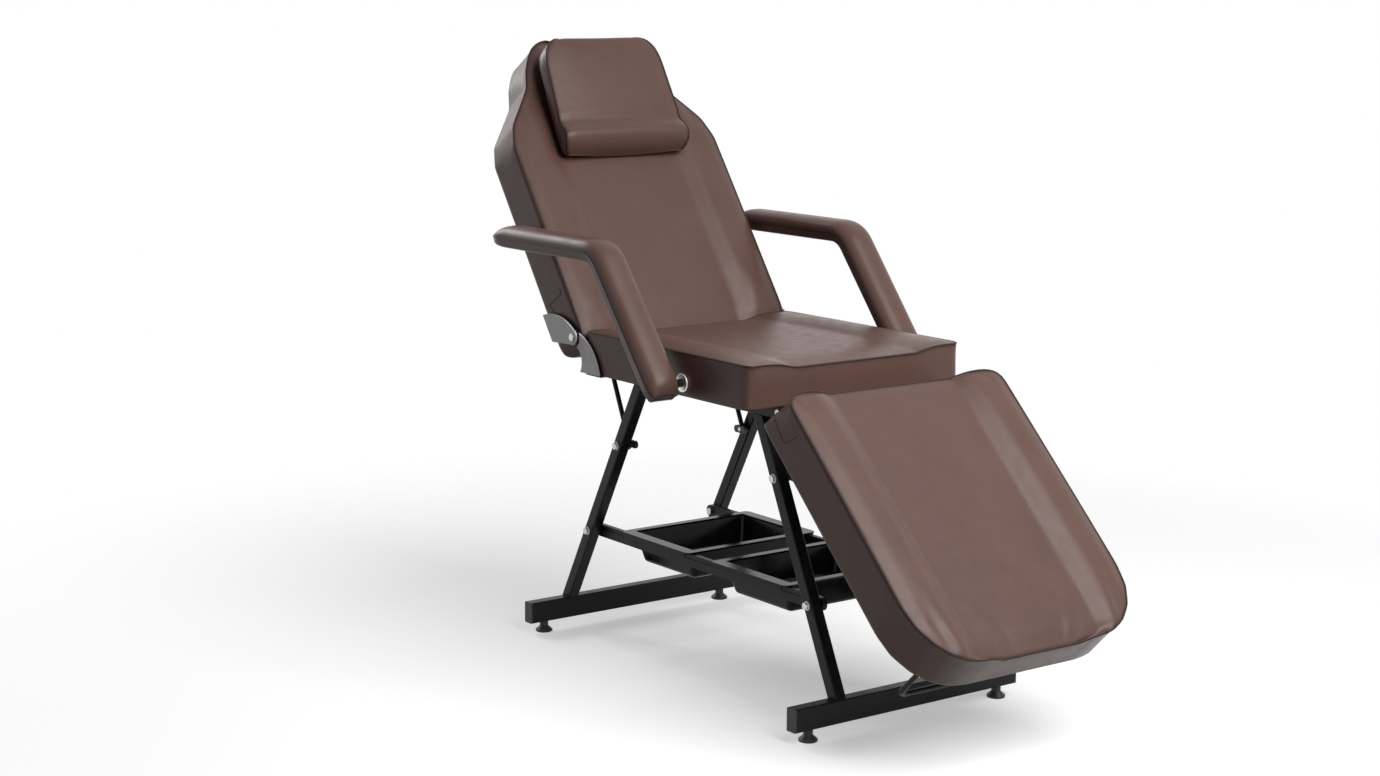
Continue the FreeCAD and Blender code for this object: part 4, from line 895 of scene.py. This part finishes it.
def pillow_levels(solid, profile):
    """Back at the middle and at the sides, and face, along the pillow, with the fold filled up."""
    middle = [solid.hit((0, u, -profile.FAR), (0, 0, 1), 2) for u in profile.u]
    sides = [solid.hit((PILLOW_PROBE * half, u, -profile.FAR), (0, 0, 1), 2)
             for u, half in zip(profile.u, profile.half)]
    run = profile.u - profile.u[0]
    plain = (run < FOLD[0]) | (run > FOLD[1])
    face = np.interp(profile.u, profile.u[plain], profile.face[plain])
    return profile.filled(middle), profile.filled(sides), face


def pillow_places(solid, profile, grid):
    """Pillow points: a crowned back, a neck roll below a soft fold, and a face that ends in side seams."""
    middle, sides, level = pillow_levels(solid, profile)
    u, half, _, _ = profile.at((grid[:, 1] + 1) / 2)
    run = u - profile.u[0]
    x = grid[:, 0] * half
    bow = np.clip(np.abs(x) / (PILLOW_PROBE * half), 0, 1) ** 2
    back = np.interp(u, profile.u, middle) * (1 - bow) + np.interp(u, profile.u, sides) * bow
    near_fold = (run - np.mean(FOLD)) / (0.25 * (FOLD[1] - FOLD[0]))
    edge = np.clip(1 - (half - np.abs(x)) / bpy.context.scene.upholstery.edge_round, 0, 1) ** 2
    face = np.interp(u, profile.u, level) - FOLD_DIP * np.exp(-near_fold ** 2) - SIDE_DROP * edge
    roll = np.sqrt(1 - np.clip(1 - run / ROLL, 0, 1) ** 2)
    thick = (face - back) * (THIN_EDGE + (1 - THIN_EDGE) * roll)
    v = back + thick * (grid[:, 2] + 1) / 2
    tuck = np.where(np.abs(grid[:, 0]) > ON_SIDE, SIDE_TUCK * grid[:, 2] ** 2, 0)
    return np.stack([x - np.sign(x) * tuck, u, v], axis=1)


def side_lines(grid):
    """Indices of the points along the face's right and left edges, from the lower end up."""
    lines = []
    for side in (-1, 1):
        line = np.flatnonzero((grid[:, 0] * side > ON_SIDE) & (grid[:, 2] > ON_SIDE))
        lines.append(line[np.argsort(grid[line, 1])])
    return lines


class PillowOperator(Operator):
    """Makes the pillow with its neck roll and side seams, and its hook-and-loop strap"""

    bl_idname = "massage_table.pillow"
    bl_label = "Pillow and strap"

    def execute(self, context):
        settings = context.scene.upholstery
        solid = Solid(BACK, "pillow")
        profile = Profile(solid)
        piece, grid = box_shell("headrest", cell_counts(profile))
        set_places(piece, BACK.world(pillow_places(solid, profile, grid)))
        orders = side_lines(grid)
        held = (grid[:, 2] < -ON_SIDE).astype(float)
        held[np.concatenate(orders)] = 1
        shrunk(piece, np.where(held < 1, PILLOW_SWELL * (grid[:, 2] + 1) / 2, 0))
        puffed(piece, held, settings.reach)
        keep_inside(piece, BACK, profile, PILLOW_PROUD)
        smoothed(piece)
        seams = [points_of(piece, order) for order in orders]
        spots = [point for seam in seams for point in between(seam, SEAM_STEPS)]
        paint_seam_shade(piece, spots, SEAM_SHADE)
        worn(piece, leather("brown_leather"), "pillow")
        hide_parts("pillow")
        for side, seam in zip(("right", "left"), seams):
            cord = lay_tube(f"headrest_piping_{side}", seam, settings.piping, False)
            worn(cord, leather("painted_shade_piping"), "pillow")
        painted(strap_webbing(), "pillow_strap")
        return {"FINISHED"}


# Armrests
ARM_CELL = 0.008
ARM_ACROSS = 8
ARM_THROUGH = 6
ARM_SWELL = 0.0015
ARM_REACH = 0.003
# ARM_SHADE is the width of the painted shade along the armrests' seams
ARM_SHADE = 0.004
END_LENGTH = 0.030
LEVEL = Vector((0, 1, 0))
# Shares of the hold, of the half width and of the height
BASE_HOLD = 0.6
SIDE_LEAN = 0.08
END_TAPER = 0.22
LOWEST_DOME = 0.2
TIP_LIFT = 0.35
# Powers that make the domed top fuller than a half ellipse
DOME_WIDTH = 0.8
DOME_RISE = 0.85


class ArmrestLine:
    """Middle line of an armrest: up from the toe, round the bend and level to the rear tip."""

    def __init__(self, pivot, tip_y):
        settings = bpy.context.scene.armrests
        bend = Vector((pivot.x, pivot.y + settings.bend_back, pivot.z + settings.bend_rise))
        self.radius = settings.bend_radius
        self.rise = (bend - pivot).normalized()
        self.inward = Vector((0, self.rise.z, -self.rise.y))
        turn = self.rise.angle(LEVEL)
        trim = self.radius * math.tan(turn / 2)
        self.start = pivot - self.rise * settings.toe
        self.centre = bend - self.rise * trim + self.inward * self.radius
        self.straight = (bend - self.start).length - trim
        self.arc = self.radius * turn
        flat = tip_y - bend.y - trim
        self.length = self.straight + self.arc + flat

    def at(self, distance):
        """Place and direction at a distance from the toe."""
        if distance <= self.straight:
            return self.start + self.rise * distance, self.rise
        angle = min(distance - self.straight, self.arc) / self.radius
        direction = self.rise * math.cos(angle) + self.inward * math.sin(angle)
        spoke = self.inward * math.cos(angle) - self.rise * math.sin(angle)
        past = max(0, distance - self.straight - self.arc)
        return self.centre - spoke * self.radius + LEVEL * past, direction


def quarter(distance, length):
    """Height of a quarter ellipse: 0 at its end, 1 from length onwards."""
    return math.sqrt(1 - max(0, 1 - distance / length) ** 2)


def armrest_section(across, through):
    """Section of the pad as shares of its half width and of its height above or below the seam."""
    if through < -ON_SIDE:
        return (1 - SIDE_LEAN) * across, -1
    if abs(across) > ON_SIDE and through <= 0:
        return across * (1 + SIDE_LEAN * through), through
    if abs(across) > ON_SIDE:
        share = through / 2
    else:
        share = 1 - abs(across) / 2
    angle = share * math.pi / 2
    return math.copysign(math.cos(angle) ** DOME_WIDTH, across), math.sin(angle) ** DOME_RISE


class ArmrestsOperator(Operator):
    """Makes the left padded armrest with its seam and a mirrored copy for the right"""

    bl_idname = "massage_table.armrests"
    bl_label = "Armrests"

    def execute(self, context):
        left, seam = self.left_pad()
        right = mirrored_copy(left, "armrest_right_pad")
        for side, pad in (("left", left), ("right", right)):
            worn(pad, leather("brown_leather"), f"armrest_{side}")
            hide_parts(f"armrest_pad_{side}")
        radius = 0.5 * context.scene.upholstery.piping
        for side, sign in SIDES.items():
            points = [Vector((sign * point.x, point.y, point.z)) for point in seam]
            cord = lay_tube(f"armrest_{side}_seam", points, radius, True)
            worn(cord, leather("painted_shade_piping"), f"armrest_{side}")
        return {"FINISHED"}

    def left_pad(self):
        """The left pad, filled and smoothed, and the points of its seam."""
        pivot = Vector(JOINTS["armrest_left_swing"]["pos_m"])
        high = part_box("armrest_pad_left")[1]
        line = ArmrestLine(pivot, high.y)
        cells = (ARM_ACROSS, round(line.length / ARM_CELL), ARM_THROUGH)
        piece, grid = box_shell("armrest_left_pad", cells)
        set_places(piece, [self.point(line, *place) for place in grid])
        order = ring_order(grid, 0)
        held = np.zeros(len(grid))
        held[order] = 1
        held[grid[:, 2] < -ON_SIDE] = BASE_HOLD
        shrunk(piece, np.where(held < 1, ARM_SWELL, 0))
        puffed(piece, held, ARM_REACH)
        smoothed(piece)
        seam = points_of(piece, order)
        paint_seam_shade(piece, between(seam + seam[:1], SEAM_STEPS), ARM_SHADE)
        return piece, seam

    def point(self, line, across, share, through):
        """A point of the pad: its top comes down to the seam at both ends, its base is cut off blunt."""
        settings = bpy.context.scene.armrests
        distance = line.length * (share + 1) / 2
        to_tip = line.length - distance
        place, direction = line.at(distance)
        out = Vector((0, -direction.z, direction.y))
        wide, rise = armrest_section(across, through)
        seam = settings.thickness * settings.seam_share
        if rise > 0:
            dome = max(LOWEST_DOME, min(quarter(to_tip, settings.tip), quarter(distance, settings.boot)))
            rise = rise * dome * (settings.thickness - seam)
        else:
            rise = rise * (1 - TIP_LIFT * max(0, 1 - to_tip / settings.tip) ** 2) * seam
        ends = max(0, 1 - to_tip / END_LENGTH, 1 - distance / END_LENGTH)
        wide = wide * (1 - END_TAPER * ends ** 2) * settings.width / 2
        return place + Vector((wide, 0, 0)) + out * (rise + seam - settings.thickness / 2)


def mirrored_copy(piece, name):
    """A copy of a piece on the other side of the table."""
    copy = piece.copy()
    copy.data = piece.data.copy()
    copy.name = name
    copy.data.name = name
    bpy.context.collection.objects.link(copy)
    set_places(copy, places_of(copy) * (-1, 1, 1))
    only(copy)
    bpy.ops.object.mode_set(mode="EDIT")
    bpy.ops.mesh.select_all(action="SELECT")
    bpy.ops.mesh.normals_make_consistent(inside=False)
    bpy.ops.object.mode_set(mode="OBJECT")
    return copy


# Base, hinges and trays
class FrameOperator(Operator):
    """Paints the steel base, hinges and bail, and plates the fasteners"""

    bl_idname = "massage_table.frame"
    bl_label = "Base and hardware"

    def execute(self, context):
        finishes = {
            "black_steel": black_powder_coat(),
            "zinc_steel": zinc_plate(),
            "bright_steel": bright_steel(),
            "black_plastic": black_moulding(),
            "grey_plastic": grey_moulding(),
            "plywood": plywood(),
        }
        for subpart in frame["record"]["subparts"]:
            if subpart["material_slot"] in finishes:
                painted(finishes[subpart["material_slot"]], subpart["node"])
        return {"FINISHED"}


class TraysOperator(Operator):
    """Gives the two trays their glossy plastic"""

    bl_idname = "massage_table.trays"
    bl_label = "Trays"

    def execute(self, context):
        painted(tray_plastic(), "tray_front", "tray_rear")
        return {"FINISHED"}


# Stage
KEY_PLACE = (0.3, -2.3, 2.6)
KEY_AIM = (0, 0, 0.5)
KEY_SIZE = 2.4
RIM_PLACE = (-0.8, 3.0, 2.3)
RIM_AIM = (0, 0, 0.8)
RIM_SIZE = 1.4
FLOOR_SIZE = 12
FLOOR_GAP = 0.0005
FLOOR_COLOUR = (0.80, 0.80, 0.80)
FLOOR_ROUGHNESS = 0.9
FLOOR_GLOW = 0.45
FLOOR_FADE = (1.0, 2.2)
SENSOR = 36


def add_lamp(name, place, aim, size, power):
    """A square soft lamp at place that shines on aim."""
    bpy.ops.object.select_all(action="DESELECT")
    bpy.ops.object.light_add(type="AREA", location=place)
    lamp = bpy.context.object
    lamp.name = name
    lamp.data.size = size
    lamp.data.energy = power
    lamp.rotation_euler = (Vector(aim) - Vector(place)).to_track_quat("-Z", "Y").to_euler()


def seen_directly(tree):
    """Socket that is 1 for the camera, mirror and glass rays."""
    path = tree.nodes.new("ShaderNodeLightPath")
    total = path.outputs["Is Camera Ray"]
    for name in ("Is Glossy Ray", "Is Transmission Ray"):
        add = tree.nodes.new("ShaderNodeMath")
        add.operation = "MAXIMUM"
        tree.links.new(total, add.inputs[0])
        tree.links.new(path.outputs[name], add.inputs[1])
        total = add.outputs[0]
    return total


class StageOperator(Operator):
    """Adds the floor, the white surround, the lamps and the camera"""

    bl_idname = "massage_table.stage"
    bl_label = "Stage"

    def execute(self, context):
        stage = context.scene.stage
        self.floor(stage)
        self.surround(stage)
        add_lamp("key_lamp", KEY_PLACE, KEY_AIM, KEY_SIZE, stage.key)
        add_lamp("rim_lamp", RIM_PLACE, RIM_AIM, RIM_SIZE, stage.rim)
        self.camera(stage)
        context.scene.view_settings.view_transform = "Standard"
        return {"FINISHED"}

    def floor(self, stage):
        """A pale floor that keeps the shadow."""
        bpy.ops.object.select_all(action="DESELECT")
        bpy.ops.mesh.primitive_plane_add(size=FLOOR_SIZE, location=(0, 0, -FLOOR_GAP))
        floor = bpy.context.object
        floor.name = "floor"
        bpy.ops.object.transform_apply(location=True)
        floor.data.materials.append(self.floor_finish(stage.bounce))

    def floor_finish(self, bounce):
        """Bright where it is seen directly, dull otherwise, and clear further out."""
        finish = Finish("floor", FLOOR_COLOUR, FLOOR_ROUGHNESS)
        finish.gloss(0.0)
        glow = finish.add("ShaderNodeEmission")
        glow.inputs["Strength"].default_value = FLOOR_GLOW
        lit = finish.add("ShaderNodeAddShader")
        finish.link(finish.shader.outputs[0], lit.inputs[0])
        finish.link(glow.outputs[0], lit.inputs[1])
        dull = finish.add("ShaderNodeBsdfDiffuse")
        dull.inputs["Color"].default_value = (bounce, bounce, bounce, 1)
        seen = finish.blend(seen_directly(finish.tree), dull.outputs[0], lit.outputs[0])
        away = finish.add("ShaderNodeVectorMath")
        away.operation = "LENGTH"
        finish.link(finish.place, away.inputs[0])
        fade = finish.span(away.outputs["Value"], 0, 1, *FLOOR_FADE)
        clear = finish.add("ShaderNodeBsdfTransparent")
        surface = finish.blend(fade, seen, clear.outputs[0])
        finish.link(surface, finish.tree.nodes["Material Output"].inputs["Surface"])
        return finish.material

    def surround(self, stage):
        """White seen directly, a soft even light otherwise."""
        world = bpy.data.worlds.new("surround")
        world.use_nodes = True
        tree = world.node_tree
        shine = tree.nodes["Background"]
        shine.inputs["Color"].default_value = (1, 1, 1, 1)
        level = tree.nodes.new("ShaderNodeMapRange")
        level.inputs["To Min"].default_value = stage.ambient
        level.inputs["To Max"].default_value = 1
        tree.links.new(seen_directly(tree), level.inputs["Value"])
        tree.links.new(level.outputs["Result"], shine.inputs["Strength"])
        bpy.context.scene.world = world

    def camera(self, stage):
        """The camera at the photograph's angle."""
        flat = math.cos(stage.elevation)
        x = math.sin(stage.azimuth) * flat
        y = -math.cos(stage.azimuth) * flat
        back = Vector((x, y, math.sin(stage.elevation)))
        bpy.ops.object.camera_add(location=Vector(stage.target) + back * stage.distance)
        camera = bpy.context.object
        camera.rotation_euler = (-back).to_track_quat("-Z", "Y").to_euler()
        camera.data.sensor_fit = "HORIZONTAL"
        camera.data.sensor_width = SENSOR
        camera.data.lens = stage.lens
        camera.data.shift_x = stage.shift[0]
        camera.data.shift_y = stage.shift[1]
        bpy.context.scene.camera = camera


# Panel and registration
OPERATORS = (SeatOperator, BackrestOperator, LegrestOperator, PillowOperator, ArmrestsOperator,
             FrameOperator, TraysOperator, StageOperator)
SETTINGS = {
    "upholstery": UpholsterySettings,
    "armrests": ArmrestSettings,
    "finishes": FinishSettings,
    "stage": StageSettings,
}


class MassageTablePanel(Panel):
    """Lists the steps that make the table"""

    bl_idname = "VIEW3D_PT_massage_table"
    bl_label = "Massage table"
    bl_space_type = "VIEW_3D"
    bl_region_type = "UI"
    bl_category = "Massage table"

    def draw(self, context):
        for group in SETTINGS:
            column = self.layout.column(heading=group.capitalize())
            for name in SETTINGS[group].__annotations__:
                column.prop(getattr(context.scene, group), name)
        for operator in OPERATORS:
            self.layout.operator(operator.bl_idname)


def register():
    for cls in (*SETTINGS.values(), *OPERATORS, MassageTablePanel):
        bpy.utils.register_class(cls)
    for name, cls in SETTINGS.items():
        setattr(bpy.types.Scene, name, PointerProperty(type=cls))


def unregister():
    for name in SETTINGS:
        delattr(bpy.types.Scene, name)
    for cls in reversed((*SETTINGS.values(), *OPERATORS, MassageTablePanel)):
        bpy.utils.unregister_class(cls)


def main():
    register()
    for operator in OPERATORS:
        group, name = operator.bl_idname.split(".")
        getattr(getattr(bpy.ops, group), name)()


if __name__ == "__main__":
    main()
